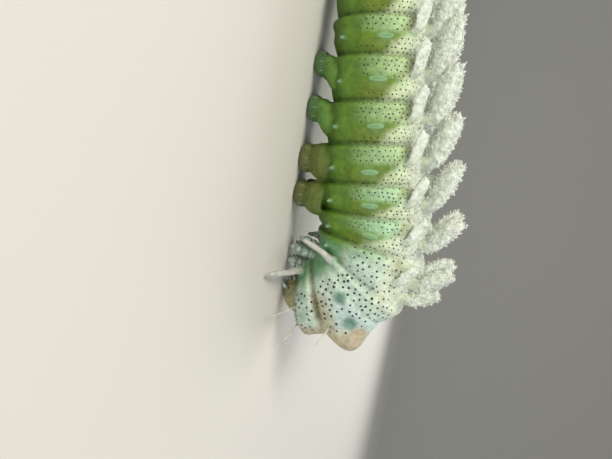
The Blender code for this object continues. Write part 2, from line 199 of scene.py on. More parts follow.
def relief(place, angle):
    # folds, lips and furrows of the skin, mm outwards
    k = np.clip(place.astype(int), 0, lastPlace - 1)
    t = np.clip(place - k, 0.0, 1.0)
    span = np.linalg.norm(smoothPoint(k + 0.999, angle) - smoothPoint(k + 0.001, angle), axis=-1)
    fromTail = t * span
    toHead = (1.0 - t) * span
    off = np.abs(angle)
    depth = body["creaseDepth"] * np.clip(span / 5.0, 0.25, 1.0)
    out = body["lipHeight"] * (1 - 0.8 * (k == 11)) * bump(fromTail, 1.1, body["lipWidth"])
    out -= depth * foldShare(k, off) * bump(fromTail, 0, body["creaseTail"]) * (k > 0)
    out -= depth * foldShare(k + 1, off) * np.exp(-(toHead / body["creaseHead"])) * (k < lastPlace - 1)
    # the lobes behind the head run into each other, and the first one rounds off at the neck
    out += 0.62 * bump(place, 11.0, 0.26) * smoothStep(22, 44, off)
    out += 0.5 * bump(place, 10.0, 0.2) * smoothStep(74, 50, off)
    out -= 0.9 * (k == 12) * smoothStep(0.74, 1.0, t)
    abdomen = (k > 0) & (k < 10)
    out -= abdomen * body["furrowDepth"] * bump(off, body["furrowAngle"], 6.0) * np.sin(np.pi * t)
    out += abdomen * body["ridgeHeight"] * bump(off, body["ridgeAngle"], 8.0) * np.sin(np.pi * t) ** 0.6
    # soft hollows between the muscles of each segment
    out += 0.12 * abdomen * np.sin(4.0 * np.pi * t + 0.6) * smoothStep(55, 85, off)
    out += 0.1 * np.sin(np.radians(angle) * 9 + k * 1.7) * np.sin(np.pi * t) * abdomen
    for spotPlace, spotAngle, radius, strength in greenSpots[:2]:
        miss = ((place - spotPlace) * 7.5 / radius) ** 2 + ((off - spotAngle) * 0.19 / radius) ** 2
        out += 0.25 * strength * np.exp(-miss ** 2)
    return out


def skinPoint(place, angle, grow=0.0):
    place, angle = np.broadcast_arrays(np.asarray(place, float), np.asarray(angle, float))
    return smoothPoint(place, angle, relief(place, angle) + grow)


def outward(place, angle):
    ahead = smoothPoint(min(place + 0.04, lastPlace - 0.001), angle)
    behind = smoothPoint(max(place - 0.04, 0.001), angle)
    along = ahead - behind
    across = smoothPoint(place, angle + 2.0) - smoothPoint(place, angle - 2.0)
    out = np.cross(across, along)
    out /= np.linalg.norm(out)
    middle = bodyFrame(place)[0]
    return out if out @ (smoothPoint(place, angle) - middle) > 0 else -out


def mapSpot(place, angle):
    # where a place of the skin lies on the unwrap that the coat's maps share
    return place / lastPlace, (angle + 180) / 360 * body["mapHeight"], 0 * place


# Small tools

def linearColor(code):
    parts = [int(code[i:i + 2], 16) / 255 for i in (1, 3, 5)]
    return [p / 12.92 if p <= 0.04045 else ((p + 0.055) / 1.055) ** 2.4 for p in parts] + [1.0]


def addNode(tree, kind, inputs=None, **settings):
    node = tree.nodes.new(kind)
    for name, value in settings.items():
        setattr(node, name, value)
    for socket, value in (inputs or {}).items():
        if isinstance(value, bpy.types.NodeSocket):
            tree.links.new(value, node.inputs[socket])
        else:
            node.inputs[socket].default_value = value
    return node


def newMesh(name, points, faces):
    mesh = bpy.data.meshes.new(name)
    mesh.from_pydata([tuple(p) for p in points], [], [tuple(f) for f in faces])
    mesh.update()
    return mesh


def newObject(name, mesh):
    thing = bpy.data.objects.new(name, mesh)
    bpy.context.scene.collection.objects.link(thing)
    return thing


def joinForms(forms):
    # one list of points and one of faces from many
    points = []
    faces = []
    start = 0
    for formPoints, formFaces in forms:
        points.append(np.asarray(formPoints, float))
        faces += [tuple(i + start for i in face) for face in formFaces]
        start += len(formPoints)
    return np.vstack(points), faces


def ringForm(rings):
    # a closed form from rings of points, with a fan over each end
    rings = np.asarray(rings, float)
    rows, count = rings.shape[:2]
    faces = []
    for i in range(rows - 1):
        for j in range(count):
            n = (j + 1) % count
            faces.append((i * count + j, i * count + n, (i + 1) * count + n, (i + 1) * count + j))
    first = rows * count
    points = np.vstack((rings.reshape(-1, 3), rings[0].mean(0), rings[-1].mean(0)))
    for j in range(count):
        n = (j + 1) % count
        faces.append((first, n, j))
        faces.append((first + 1, (rows - 1) * count + j, (rows - 1) * count + n))
    return points, faces


def smoothPath(path, steps):
    # a curve through the points, evenly divided between each two
    path = np.asarray(path, float)
    padded = np.vstack((2 * path[0] - path[1], path, 2 * path[-1] - path[-2]))
    out = []
    for k in range(len(path) - 1):
        a, b, c, d = padded[k:k + 4]
        for i in range(steps):
            t = i / steps
            out.append(b + 0.5 * t * (c - a + t * (2 * a - 5 * b + 4 * c - d + t * (3 * (b - c) + d - a))))
    out.append(path[-1])
    return np.array(out)


def tubeForm(path, radii, sides=12, steps=1, flat=1.0, face=(0.0, 0.3, 1.0)):
    # a tube whose radius follows its path; flat below 1 thins it along face
    if steps > 1:
        radii = smoothPath([(r, 0, 0) for r in radii], steps)[:, 0]
        path = smoothPath(path, steps)
    path = np.asarray(path, float)
    tangent = np.gradient(path, axis=0)
    tangent /= np.linalg.norm(tangent, axis=1)[:, None]
    other = np.asarray(face, float)
    rings = []
    turn = np.linspace(0, 2 * np.pi, sides, endpoint=False)
    for point, ahead, radius in zip(path, tangent, radii):
        other = other - ahead * (other @ ahead)
        other /= np.linalg.norm(other)
        side = np.cross(other, ahead)
        rings.append(point + radius * (np.outer(np.cos(turn), side) + flat * np.outer(np.sin(turn), other)))
    return ringForm(rings)


def meshPoints(mesh, key="co"):
    values = np.empty(len(mesh.vertices) * 3, np.float32)
    mesh.vertices.foreach_get(key, values)
    return values.reshape(-1, 3).astype(float)


def movePoints(mesh, co):
    mesh.vertices.foreach_set("co", np.asarray(co, np.float32).ravel())
    mesh.update()


def toMetres(mesh):
    movePoints(mesh, (meshPoints(mesh) - (layoutMiddle, 0, 0)) * 0.001)


def setPointValues(mesh, name, values, kind="FLOAT"):
    attribute = mesh.attributes.get(name) or mesh.attributes.new(name, kind, "POINT")
    key = {"FLOAT": "value", "FLOAT_VECTOR": "vector", "FLOAT_COLOR": "color"}[kind]
    attribute.data.foreach_set(key, np.asarray(values, np.float32).ravel())


def setMap(mesh, uv):
    corner = np.empty(len(mesh.loops), np.int32)
    mesh.loops.foreach_get("vertex_index", corner)
    layer = mesh.uv_layers.new(name="OFBake")
    layer.data.foreach_set("uv", np.asarray(uv, np.float32)[corner][:, :2].ravel())


def dropAttributes(mesh, names):
    for name in names:
        if name in mesh.attributes:
            mesh.attributes.remove(mesh.attributes[name])


def addPiece(mesh, name, material):
    mesh.name = name
    mesh.materials.clear()
    mesh.materials.append(material)
    mesh.polygons.foreach_set("use_smooth", np.ones(len(mesh.polygons), bool))
    thing = newObject(name, mesh)
    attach(thing, "root")
    return thing


def finishForms(forms, name, material):
    # a piece from forms in the layout's millimetres
    mesh = newMesh(name, *joinForms(forms))
    bm = bmesh.new()
    bm.from_mesh(mesh)
    bmesh.ops.recalc_face_normals(bm, faces=bm.faces)
    bm.to_mesh(mesh)
    bm.free()
    toMetres(mesh)
    return addPiece(mesh, name, material)


def evaluated(thing):
    bpy.context.view_layer.update()
    depsgraph = bpy.context.evaluated_depsgraph_get()
    mesh = bpy.data.meshes.new_from_object(thing.evaluated_get(depsgraph), depsgraph=depsgraph)
    bpy.data.objects.remove(thing, do_unlink=True)
    return mesh


def oneSurface(points, faces, voxel, softSteps, kept=1.0):
    # melts overlapping forms into one closed surface, and keeps a share of its triangles, most at the bends
    raw = newObject("raw", newMesh("raw", points, faces))
    melt = raw.modifiers.new("one surface", "REMESH")
    melt.mode = "VOXEL"
    melt.voxel_size = voxel
    soften = raw.modifiers.new("soften", "SMOOTH")
    soften.factor = 0.5
    soften.iterations = softSteps
    if kept < 1.0:
        thin = raw.modifiers.new("thin out", "DECIMATE")
        thin.ratio = kept
    return evaluated(raw)


def triangles(mesh):
    return sum(len(p.vertices) - 2 for p in mesh.polygons)


# Camera

camera = {
    "place": (-22.193, -132.619, 34.059),
    "look": (0.16082, 0.96101, -0.22495),
    "roll": 11.4755,
    "lens": 34.12,
}


def makeCamera():
    look = Vector(camera["look"]).normalized()
    plain = (Vector((0, 0, 1)) - look * look.z).normalized()
    other = (-look).cross(plain)
    roll = math.radians(camera["roll"])
    right = plain * math.cos(roll) + other * math.sin(roll)
    up = (-look).cross(right)
    data = bpy.data.cameras.new("camera")
    data.lens = camera["lens"]
    data.sensor_fit = "HORIZONTAL"
    data.sensor_width = 36.0
    data.clip_start = 0.005
    data.clip_end = 20.0
    eye = bpy.data.objects.new("camera", data)
    bpy.context.scene.collection.objects.link(eye)
    turn = Matrix((right, up, -look)).transposed().to_4x4()
    place = Vector(camera["place"]) - Vector((layoutMiddle, 0, 0))
    eye.matrix_world = Matrix.Translation(place * 0.001) @ turn
    bpy.context.scene.camera = eye


makeCamera()
print("camera placed")


# Fingers, knobs and feet of the skin

# segment, place along it, angle from the back's middle, lean back from upright, length
backFingers = (
    ("abdomen_9", 0.45, 24.0, 66.0, 8.0),
    ("abdomen_7", 0.40, 25.0, 68.0, 13.0),
    ("abdomen_6", 0.40, 25.0, 72.0, 14.4),
    ("abdomen_5", 0.44, 25.0, 71.0, 14.1),
    ("abdomen_4", 0.47, 25.0, 66.0, 13.2),
    ("abdomen_3", 0.55, 25.0, 62.0, 12.6),
    ("abdomen_2", 0.62, 25.0, 45.0, 10.8),
    ("abdomen_1", 0.44, 25.0, 28.0, 9.8),
    ("abdomen_1", 0.74, 24.0, 22.0, 8.2),
)
upperFingers = (
    ("abdomen_8", 0.45, 49.0, 73.0, 7.2),
    ("abdomen_7", 0.45, 49.0, 75.0, 8.0),
    ("abdomen_6", 0.45, 49.0, 76.0, 8.4),
    ("abdomen_5", 0.45, 49.0, 75.0, 8.4),
    ("abdomen_4", 0.48, 49.0, 72.0, 8.2),
    ("abdomen_3", 0.52, 49.0, 66.0, 7.6),
    ("abdomen_2", 0.56, 49.0, 58.0, 7.0),
    ("abdomen_1", 0.50, 49.0, 46.0, 6.0),
)
middleFingers = (("abdomen_8", 0.45, 0.0, 66.0, 12.0),)
fingerFlesh = {"spread": 0.16, "backThick": 1.35, "upperThick": 0.7, "share": 0.66,
               "taper": (1.25, 1.0, 0.8, 0.4)}
knobs = {"place": 0.6, "angle": 128.0, "length": 1.5, "thick": 0.5, "taper": (1.8, 1.4, 1.0, 0.75, 0.3)}
longFingerTaper = (1.7, 1.15, 0.85, 0.8, 0.45)
# segment, place, angle, reach from the root, thickness
longFingers = (
    ("thorax_1", 0.70, 149.0, (-1.1, -15.2, -3.4), 0.86),
    ("thorax_3", 0.40, 118.0, (-4.1, -3.0, -6.6), 0.8),
)
# foot (x, y), root (x, y), half length and half width of the foot
falseLegs = (
    ((-38.0, 4.0), (-36.2, 4.9), 2.35, 2.1),
    ((-28.2, 4.0), (-26.6, 4.9), 2.5, 2.2),
    ((-17.0, 4.0), (-16.8, 4.9), 2.8, 2.3),
    ((-8.8, 4.0), (-8.6, 4.9), 2.6, 2.2),
    ((-70.0, 4.0), (-69.2, 5.0), 2.6, 2.0),
)
# height above the floor, size against the foot, share of the way from foot to root
falseLegRings = (
    (0.0, 0.76, 0.0), (0.25, 0.97, 0.0), (0.8, 1.13, 0.02), (1.5, 1.2, 0.06), (2.3, 1.18, 0.14),
    (2.85, 1.1, 0.25), (3.15, 1.14, 0.4), (3.7, 1.3, 0.65), (4.5, 1.42, 1.0), (5.5, 1.5, 1.3),
    (7.4, 1.5, 1.4),
)


def fingerPath(row, side):
    # root, its outward direction, bend, tip and the way the finger points
    segment, t, angle, backLean, length = row
    place = segments.index(segment) + t
    out = outward(place, side * angle)
    root = smoothPoint(place, side * angle)
    lean = math.radians(backLean)
    aim = np.array((-math.sin(lean), -side * fingerFlesh["spread"], math.cos(lean)))
    aim /= np.linalg.norm(aim)
    bend = root + (out + aim) * length * 0.12
    tip = root + aim * length
    return root, out, bend, tip, aim


def allWaxedFingers():
    rows = [(row, side, "back") for row in backFingers for side in (-1, 1)]
    rows += [(row, side, "upper") for row in upperFingers for side in (-1, 1)]
    rows += [(row, 0, "back") for row in middleFingers]
    return rows


def bodyForm():
    steps = np.linspace(0, 1, body["stepsAlong"] + 1)[:-1]
    steps = 0.5 * steps + 0.25 - 0.25 * np.cos(np.pi * steps)  # closer near the folds
    places = np.concatenate([k + steps for k in range(lastPlace)] + [[lastPlace - 0.0005]])
    angles = np.linspace(-180, 180, body["stepsRound"], endpoint=False)
    grid = skinPoint(places[:, None], angles[None, :])
    middle, back, ahead, high, wide = bodyFrame(places[[0, -1]])
    tail = [middle[0] + (grid[0] - middle[0]) * size - ahead[0] * past
            for size, past in ((0.25, 1.35), (0.6, 1.1), (0.85, 0.6))]
    neck = [middle[1] + (grid[-1] - middle[1]) * size + ahead[1] * past
            for size, past in ((0.95, 0.2), (0.85, 0.3), (0.6, 0.3))]
    spots = [np.column_stack((np.full(len(angles), place), angles))
             for place in [0.0] * len(tail) + list(places) + [places[-1]] * len(neck)]
    spots.append([(0, 0), (lastPlace, 0)])
    points, faces = ringForm(np.vstack((tail, grid, neck)))
    return points, faces, np.vstack(spots)


def fleshForms():
    # every fleshy form of the skin, each with a word for what it is
    points, faces, spots = bodyForm()
    forms = [("body", points, faces)]
    for row, side, kind in allWaxedFingers():
        root, out, bend, tip, aim = fingerPath(row, side)
        thick = fingerFlesh[kind + "Thick"]
        end = root + (tip - root) * fingerFlesh["share"]
        path = (root - out * thick * 1.4, bend, bend + (end - bend) * 0.55, end)
        forms.append(("finger", *tubeForm(path, thick * np.array(fingerFlesh["taper"]), 12, 4)))
    for name in segments[1:10]:
        for side in (-1, 1):
            place = segments.index(name) + knobs["place"]
            out = outward(place, side * knobs["angle"])
            root = smoothPoint(place, side * knobs["angle"])
            path = [root + out * share * knobs["length"] for share in (-0.5, 0.1, 0.55, 0.85, 1.0)]
            forms.append(("knob", *tubeForm(path, knobs["thick"] * np.array(knobs["taper"]), 12, 3)))
    for segment, t, angle, reach, thick in longFingers:
        for side in (-1, 1):
            place = segments.index(segment) + t
            root = smoothPoint(place, side * angle)
            reachNow = np.array((reach[0], side * reach[1], reach[2]))
            path = [root - outward(place, side * angle) * 1.4]
            for share, arch in ((0.12, 0.4), (0.45, 0.9), (0.8, 0.6), (1.0, 0.0)):
                path.append(root + reachNow * share + (0, 0, arch))
            forms.append(("longFinger", *tubeForm(path, thick * np.array(longFingerTaper), 14, 5)))
    turn = np.linspace(0, 2 * np.pi, 28, endpoint=False)
    for foot, root, along, across in falseLegs:
        for side in (-1, 1):
            rings = []
            for height, size, share in falseLegRings:
                x = foot[0] + (root[0] - foot[0]) * share
                y = -side * (foot[1] + (root[1] - foot[1]) * share)
                rings.append(np.column_stack((x + along * size * np.cos(turn),
                                              y + across * size * np.sin(turn),
                                              0 * turn + height)))
            forms.append(("falseLeg", *ringForm(rings)))
    return forms, spots


# Markings of the skin

skinColors = {
    "flank": "#5c812a",
    "olive": "#6b8029",
    "recess": "#96985a",
    # painted shade: a darker green for the underside
    "shadedBelly": "#4b6a1e",
    "powder": "#afcb92",
    "mint": "#b4dcb2",
    "cream": "#c6d5a9",
    "wax": "#cfdabf",
    "thorax": "#bed3c0",
    "frost": "#c1d6cf",
    "tan": "#b3a886",
    "brownFoldShade": "#75603a",
    "pinkShade": "#bda084",
    "blueGreen": "#6fa077",
    "teal": "#5f9270",
    "spot": "#6b8f7c",
    "creaseShade": "#2f4417",
    "pitShade": "#35471a",
    "knob": "#6f9479",
    "paleGlint": "#a8bcae",
    "fingerPale": "#b4b3aa",
    "orange": "#c8602e",
    "claspGreen": "#5fae9c",
    # the false legs are greener towards the tail, and towards the head painted browner and darker as shade
    "greenStump": "#62893c",
    "shadedBrownStump": "#626f33",
    "greenFoot": "#4d6b3e",
    "shadedBrownFoot": "#5d6337",
}
pinkSpot = (20.5, 0, 20.2)  # middle of the ring of pink painted as warm shade on the big lobe
# an orange patch with a green middle on each clasper
claspPatch = {"middle": (-69.8, 7.2, 4.9), "orange": (2.1, 1.8), "green": (1.45, 1.2)}
# place, angle and radius in mm of small dark spots painted as shade in the pits beside the wax
shadePits = ((9.33, 56.0, 0.75), (9.32, 34.0, 0.8), (9.42, 45.0, 0.55), (7.2, 33.0, 0.6))
breathingHoles = {
    "halfLong": 1.7, "halfWide": 0.72, "rise": 0.1, "slitWide": 0.16,
    "places": ((1.5, 80.0), (2.52, 80.0), (3.56, 81.0), (4.54, 86.0), (5.58, 85.0), (6.68, 88.0),
               (7.62, 87.0), (8.56, 85.0)),
}


def backGap(place, off):
    # soft ovals between the roots of the back fingers, where the wax is thin and the skin is painted with
    # shade, each a little different
    k = np.floor(place)
    wide = 21 + 5 * np.sin(k * 2.3)
    miss = ((place - k - 0.8 - 0.03 * np.sin(k * 1.7)) / 0.17) ** 2 + (off / wide) ** 2
    return smoothStep(1.25, 0.35, miss) * (place < 9)


def markings(place, angle):
    # powder, warmth of the powder, tan painted as shade on the thorax, blue-green, dots and the olive groove
    # over the body
    k = np.clip(place.astype(int), 0, lastPlace - 1)
    t = np.clip(place - k, 0, 1)
    off = np.abs(angle)
    front = smoothStep(8.95, 9.5, place)
    # behind each lip a veil of powder thins out down the flank; ahead of it the edge runs slantwise
    veil = smoothStep(122, 56, off) ** 1.25
    slant = 62 + 18 * (t - 0.55) / 0.4 + 12 * smoothStep(7.2, 9.0, place)
    patch = smoothStep(slant + 5, slant - 4, off)
    powder = veil + (patch - veil) * smoothStep(0.36, 0.54, t)
    groove = bump(off, 50 + 24 * t, 4.0) * smoothStep(0.5, 0.36, t) * smoothStep(0.02, 0.08, t) * (1 - front)
    powder -= 0.4 * groove
    fore = smoothStep(118, 92, off - 10 * smoothStep(9.9, 10.3, place))
    powder = powder * (1 - front) + front * fore
    warm = smoothStep(0.42, 0.7, t) * (1 - front)
    # painted shade: a tan tint over parts of the thorax
    tan = (k == 11) * smoothStep(50, 39, off) * smoothStep(0.14, 0.3, t)
    tan = np.maximum(tan, (k == 11) * smoothStep(0.5, 0.78, t) * smoothStep(106, 84, off) * 0.85)
    tan = np.maximum(tan, (k == 12) * np.maximum(smoothStep(58, 40, off), 0.8 * smoothStep(0.16, 0.0, t)))
    blue = smoothStep(102, 114, off) * smoothStep(9.0, 9.6, place)
    # dots lie in the powder and along both margins, and keep off the back
    dots = smoothStep(0.06, 0.14, veil) * smoothStep(0.52, 0.46, t) + patch * smoothStep(0.48, 0.54, t)
    margin = np.maximum(smoothStep(0.1, 0.05, t), smoothStep(0.8, 0.86, t)) * smoothStep(118, 108, off)
    dots = np.maximum(np.clip(dots, 0, 1), margin) * smoothStep(38, 44, off)
    foreDots = smoothStep(109, 100, off) * np.where(k == 11, smoothStep(38, 48, off), smoothStep(20, 34, off))
    foreDots = np.where(k == 9, smoothStep(104, 92, off) * smoothStep(38, 44, off), foreDots)
    foreDots = foreDots * smoothStep(0.07, 0.14, np.abs(place - 12))
    dots = np.where(k >= 9, foreDots, dots) * (k > 0)
    return np.clip(powder, 0, 1), warm, np.clip(tan, 0, 1), blue, dots, groove


def makeSkin():
    forms, spots = fleshForms()
    points, faces = joinForms([form[1:] for form in forms])
    mesh = oneSurface(points, faces, body["voxel"], 2, body["kept"])
    co = meshPoints(mesh)
    # nearest sample of the body, and of any form at all
    bodyCount = len(forms[0][1])
    bodyTree = kdtree.KDTree(bodyCount)
    formTree = kdtree.KDTree(len(points))
    kinds = np.concatenate([[form[0]] * len(form[1]) for form in forms])
    for i, point in enumerate(points):
        formTree.insert(point, i)
        if i < bodyCount:
            bodyTree.insert(point, i)
    bodyTree.balance()
    formTree.balance()
    nearest = [bodyTree.find(point) for point in co]
    place, angle = spots[[hit[1] for hit in nearest]].T
    away = np.array([hit[2] for hit in nearest])
    kind = kinds[[formTree.find(point)[1] for point in co]]
    return mesh, co, place, angle, away, kind


skinMesh, skinCo, skinPlace, skinAngle, skinAway, skinKind = makeSkin()
print("skin made:", triangles(skinMesh), "triangles")


def blend(a, b, share):
    return a + (b - a) * np.clip(share, 0, 1)[:, None]


def evenOut(mesh, values, steps):
    # evens values out over the edges, so that nothing ends in a saw's teeth
    edges = np.empty(len(mesh.edges) * 2, np.int32)
    mesh.edges.foreach_get("vertices", edges)
    edges = edges.reshape(-1, 2)
    links = np.bincount(edges.ravel(), minlength=len(values))[:, None]
    for step in range(steps):
        total = np.zeros_like(values)
        np.add.at(total, edges[:, 0], values[edges[:, 1]])
        np.add.at(total, edges[:, 1], values[edges[:, 0]])
        values = 0.5 * values + 0.5 * total / links
    return values


def paintSkin():
    co = skinCo
    full = {name: np.tile(linearColor(code)[:3], (len(co), 1)) for name, code in skinColors.items()}
    powder, warm, tan, blue, dots, groove = markings(skinPlace, skinAngle)
    off = np.abs(skinAngle)
    k = np.clip(skinPlace.astype(int), 0, lastPlace - 1)
    t = skinPlace - k
    base = blend(full["flank"], full["olive"], smoothStep(0.4, 0.7, t) * smoothStep(128, 84, off))
    # painted shade: the flank darkens towards the underside
    base = blend(base, full["shadedBelly"], smoothStep(114, 150, off))
    base = blend(base, full["blueGreen"], blue * 0.9)
    dust = blend(full["powder"], full["mint"], smoothStep(5.4, 8.2, skinPlace))
    dust = blend(dust, full["cream"], warm)
    dust = blend(dust, full["thorax"], smoothStep(8.7, 9.5, skinPlace))
    frost = smoothStep(10.9, 11.2, skinPlace) * smoothStep(11.75, 11.4, skinPlace) * smoothStep(90, 70, off)
    dust = blend(dust, full["frost"], frost)
    waxEdge = off - 16 * smoothStep(7.5, 9.2, skinPlace)
    dust = blend(dust, full["wax"], smoothStep(58, 44, waxEdge) * smoothStep(10.8, 10.1, skinPlace))
    base = blend(base, dust, powder)
    base = blend(base, full["recess"], groove * 0.75)
    # painted shade: tan and pink tints over parts of the thorax
    base = blend(base, full["tan"], tan * 0.9)
    powder = powder * (1 - 0.6 * tan)
    pinkShade = bump(np.linalg.norm(co - pinkSpot, axis=1), 7.0, 1.6) + (k == 12) * smoothStep(36, 24, off)
    base = blend(base, full["pinkShade"], pinkShade * tan * 0.4)
    # painted shade: a brown line in the fold between the second and first thorax segments
    brownFoldShade = bump(skinPlace, 12.0, 0.1) * smoothStep(104, 92, off) * smoothStep(52, 66, off)
    base = blend(base, full["brownFoldShade"], brownFoldShade * 0.8)
    # painted shade: the skin is darkened between the roots of the waxed fingers, where the wax overhangs it
    gap = backGap(skinPlace, off) * (k > 0)
    base = blend(base, full["pitShade"], gap * 0.75)
    powder = powder * (1 - gap)
    for side in (-1, 1):
        # painted shade in the small pits beside the wax
        for place, angle, radius in shadePits:
            away = np.linalg.norm(co - smoothPoint(place, side * angle), axis=1)
            base = blend(base, full["pitShade"], smoothStep(radius, radius * 0.6, away))
        for place, angle, radius, strength in greenSpots:
            away = np.linalg.norm(co - smoothPoint(place, side * angle), axis=1)
            inside = smoothStep(radius * 1.25, radius * 0.75, away) * strength
            base = blend(base, full["teal"] if place < 10 else full["spot"], inside)
            powder = powder * (1 - 0.8 * inside)
            dots = dots * (1 - smoothStep(radius * 1.25, radius, away) * (strength > 0.5))
        for place, angle in breathingHoles["places"]:
            away = np.linalg.norm(co - smoothPoint(place, side * angle), axis=1)
            dots = dots * smoothStep(2.0, 2.6, away)
            base = blend(base, full["blueGreen"], 0.25 * smoothStep(2.4, 1.0, away))
    isBody = (skinKind == "body").astype(float)
    isFoot = (skinKind == "falseLeg") * smoothStep(0.0, 0.6, skinAway)
    base = blend(base, full["wax"], skinKind == "finger")
    # painted highlight: the knob tips are paled towards their ends
    knob = blend(full["knob"], full["paleGlint"], smoothStep(1.0, 1.7, skinAway))
    base = blend(base, knob, (skinKind == "knob") * smoothStep(0.1, 0.6, skinAway))
    base = blend(base, full["fingerPale"], (skinKind == "longFinger") * smoothStep(0.1, 1.0, skinAway))
    # painted shade: the false legs towards the head turn browner and darker
    headwardShade = smoothStep(-25, -20, co[:, 0])
    stump = blend(full["greenStump"], full["shadedBrownStump"], headwardShade)
    foot = blend(full["greenFoot"], full["shadedBrownFoot"], headwardShade)
    foot = blend(stump, foot, smoothStep(3.1, 2.3, co[:, 2]))
    # painted shade: a darker ring in the crease of each false leg
    foot = blend(foot, full["creaseShade"], bump(co[:, 2], 2.72, 0.22) * 0.45)
    base = blend(base, foot, isFoot)
    x, y, z = claspPatch["middle"]
    for side in (-1, 1):
        away = np.linalg.norm((co - (x, -side * y, z)) * (1.0, 1.0, 0.8), axis=1)
        base = blend(base, full["orange"], smoothStep(*claspPatch["orange"], away))
        base = blend(base, full["claspGreen"], smoothStep(*claspPatch["green"], away))
    span = np.where(k >= 10, 6.0, 8.6)
    # painted shade: the skin darkens in the folds between segments
    creaseShade = bump(t * span, 0, 0.4) * foldShare(k, off) + bump((1 - t) * span, 0, 0.8) * foldShare(k + 1, off)
    creaseShade = np.clip(creaseShade, 0, 1) * (skinAway < 1.2) * (skinPlace > 0.4) * smoothStep(40, 62, off)
    base = blend(base, full["creaseShade"], creaseShade * 0.5)
    values = evenOut(skinMesh, np.column_stack((base, powder * (1 - isFoot), dots * isBody)), 2)
    setPointValues(skinMesh, "skinColor", np.column_stack((values[:, :3], np.ones(len(co)))), "FLOAT_COLOR")
    setPointValues(skinMesh, "powder", values[:, 3])
    setPointValues(skinMesh, "lie", np.tile((-1.0, 0.0, 0.12), (len(co), 1)), "FLOAT_VECTOR")
    setPointValues(skinMesh, "size", np.ones(len(co)))
    setPointValues(skinMesh, "unwrap", np.column_stack(mapSpot(skinPlace, skinAngle)), "FLOAT_VECTOR")
    return values[:, 4]


dotZone = paintSkin()
print("skin painted")


# Finishes

def newFinish(name):
    material = bpy.data.materials.new(name)
    material.use_nodes = True
    tree = material.node_tree
    return material, tree, tree.nodes["Principled BSDF"]


def skinFinish():
    # soft larval skin: satin and a little see-through where bare, dry and dusty under powder
    material, tree, shader = newFinish("larval skin")
    where = addNode(tree, "ShaderNodeTexCoord").outputs["Object"]
    color = addNode(tree, "ShaderNodeAttribute", attribute_name="skinColor").outputs["Color"]
    powder = addNode(tree, "ShaderNodeAttribute", attribute_name="powder").outputs["Fac"]
    cloud = addNode(tree, "ShaderNodeTexNoise", {"Vector": where, "Scale": 800.0, "Detail": 7.0,
                                                 "Roughness": 0.62}).outputs["Fac"]
    grain = addNode(tree, "ShaderNodeTexNoise", {"Vector": where, "Scale": 2600.0,
                                                 "Detail": 3.0}).outputs["Fac"]
    shade = addNode(tree, "ShaderNodeMapRange", {"Value": cloud, "From Min": 0.3, "From Max": 0.7,
                                                 "To Min": 0.74, "To Max": 1.2}).outputs["Result"]
    tone = addNode(tree, "ShaderNodeVectorMath", {0: color, "Scale": shade},
                   operation="SCALE").outputs["Vector"]
    speck = addNode(tree, "ShaderNodeMapRange", {"Value": grain, "From Min": 0.5, "From Max": 0.76,
                                                 "To Max": 0.75}).outputs["Result"]
    dust = addNode(tree, "ShaderNodeMath", {0: speck, 1: powder}, operation="MULTIPLY").outputs["Value"]
    white = addNode(tree, "ShaderNodeMix", {0: dust, 6: tone, 7: linearColor("#dfe5d8")}, data_type="RGBA")
    tree.links.new(white.outputs[2], shader.inputs["Base Color"])
    rough = addNode(tree, "ShaderNodeMapRange", {"Value": powder, "To Min": 0.45, "To Max": 0.85})
    tree.links.new(rough.outputs["Result"], shader.inputs["Roughness"])
    shader.inputs["Subsurface Weight"].default_value = 0.25
    shader.inputs["Subsurface Radius"].default_value = (0.5, 1.0, 0.3)
    shader.inputs["Subsurface Scale"].default_value = 0.001
    shader.inputs["Specular IOR Level"].default_value = 0.3
    # wrinkles about 0.8 mm apart and a powder of 0.4 mm grains
    wrinkle = addNode(tree, "ShaderNodeTexNoise", {"Vector": where, "Scale": 1300.0,
                                                   "Detail": 4.0}).outputs["Fac"]
    low = addNode(tree, "ShaderNodeBump", {"Height": wrinkle, "Strength": 0.5, "Distance": 0.0003})
    powderGrain = addNode(tree, "ShaderNodeMath", {0: grain, 1: powder},
                          operation="MULTIPLY").outputs["Value"]
    fine = addNode(tree, "ShaderNodeBump", {"Height": powderGrain, "Strength": 0.5, "Distance": 0.0002,
                                            "Normal": low.outputs["Normal"]})
    tree.links.new(fine.outputs["Normal"], shader.inputs["Normal"])
    return material


def mottledFinish(name, light, dark, roughness, patch, depth, coat=0.0, soft=0.0):
    # two tones in patches of so many mm, which also lift and sink by depth in mm
    material, tree, shader = newFinish(name)
    where = addNode(tree, "ShaderNodeTexCoord").outputs["Object"]
    cloud = addNode(tree, "ShaderNodeTexNoise", {"Vector": where, "Scale": 1000.0 / patch,
                                                 "Detail": 4.0}).outputs["Fac"]
    ramp = addNode(tree, "ShaderNodeValToRGB", {"Fac": cloud})
    for element, position, code in zip(ramp.color_ramp.elements, (0.36, 0.62), (dark, light)):
        element.position = position
        element.color = linearColor(code)
    tree.links.new(ramp.outputs["Color"], shader.inputs["Base Color"])
    shader.inputs["Roughness"].default_value = roughness
    shader.inputs["Coat Weight"].default_value = coat
    shader.inputs["Subsurface Weight"].default_value = soft
    shader.inputs["Subsurface Radius"].default_value = (1.0, 0.95, 0.8)
    shader.inputs["Subsurface Scale"].default_value = 0.0008
    lift = addNode(tree, "ShaderNodeBump", {"Height": cloud, "Strength": 0.5, "Distance": depth * 0.001})
    tree.links.new(lift.outputs["Normal"], shader.inputs["Normal"])
    return material


skinMaterial = skinFinish()
# wax sweated out by the skin in clots: dry and matt, greenish white, shaded between the clots
waxMaterial = mottledFinish("flocculent wax", "#dfe5d8", "#c6cebe", 0.92, 1.4, 0.25, 0.0, 0.2)
# hardened skin in low round points: nearly black with a dull shine
dotMaterial = mottledFinish("black cuticle points", "#333a2a", "#1f251a", 0.45, 1.1, 0.05)
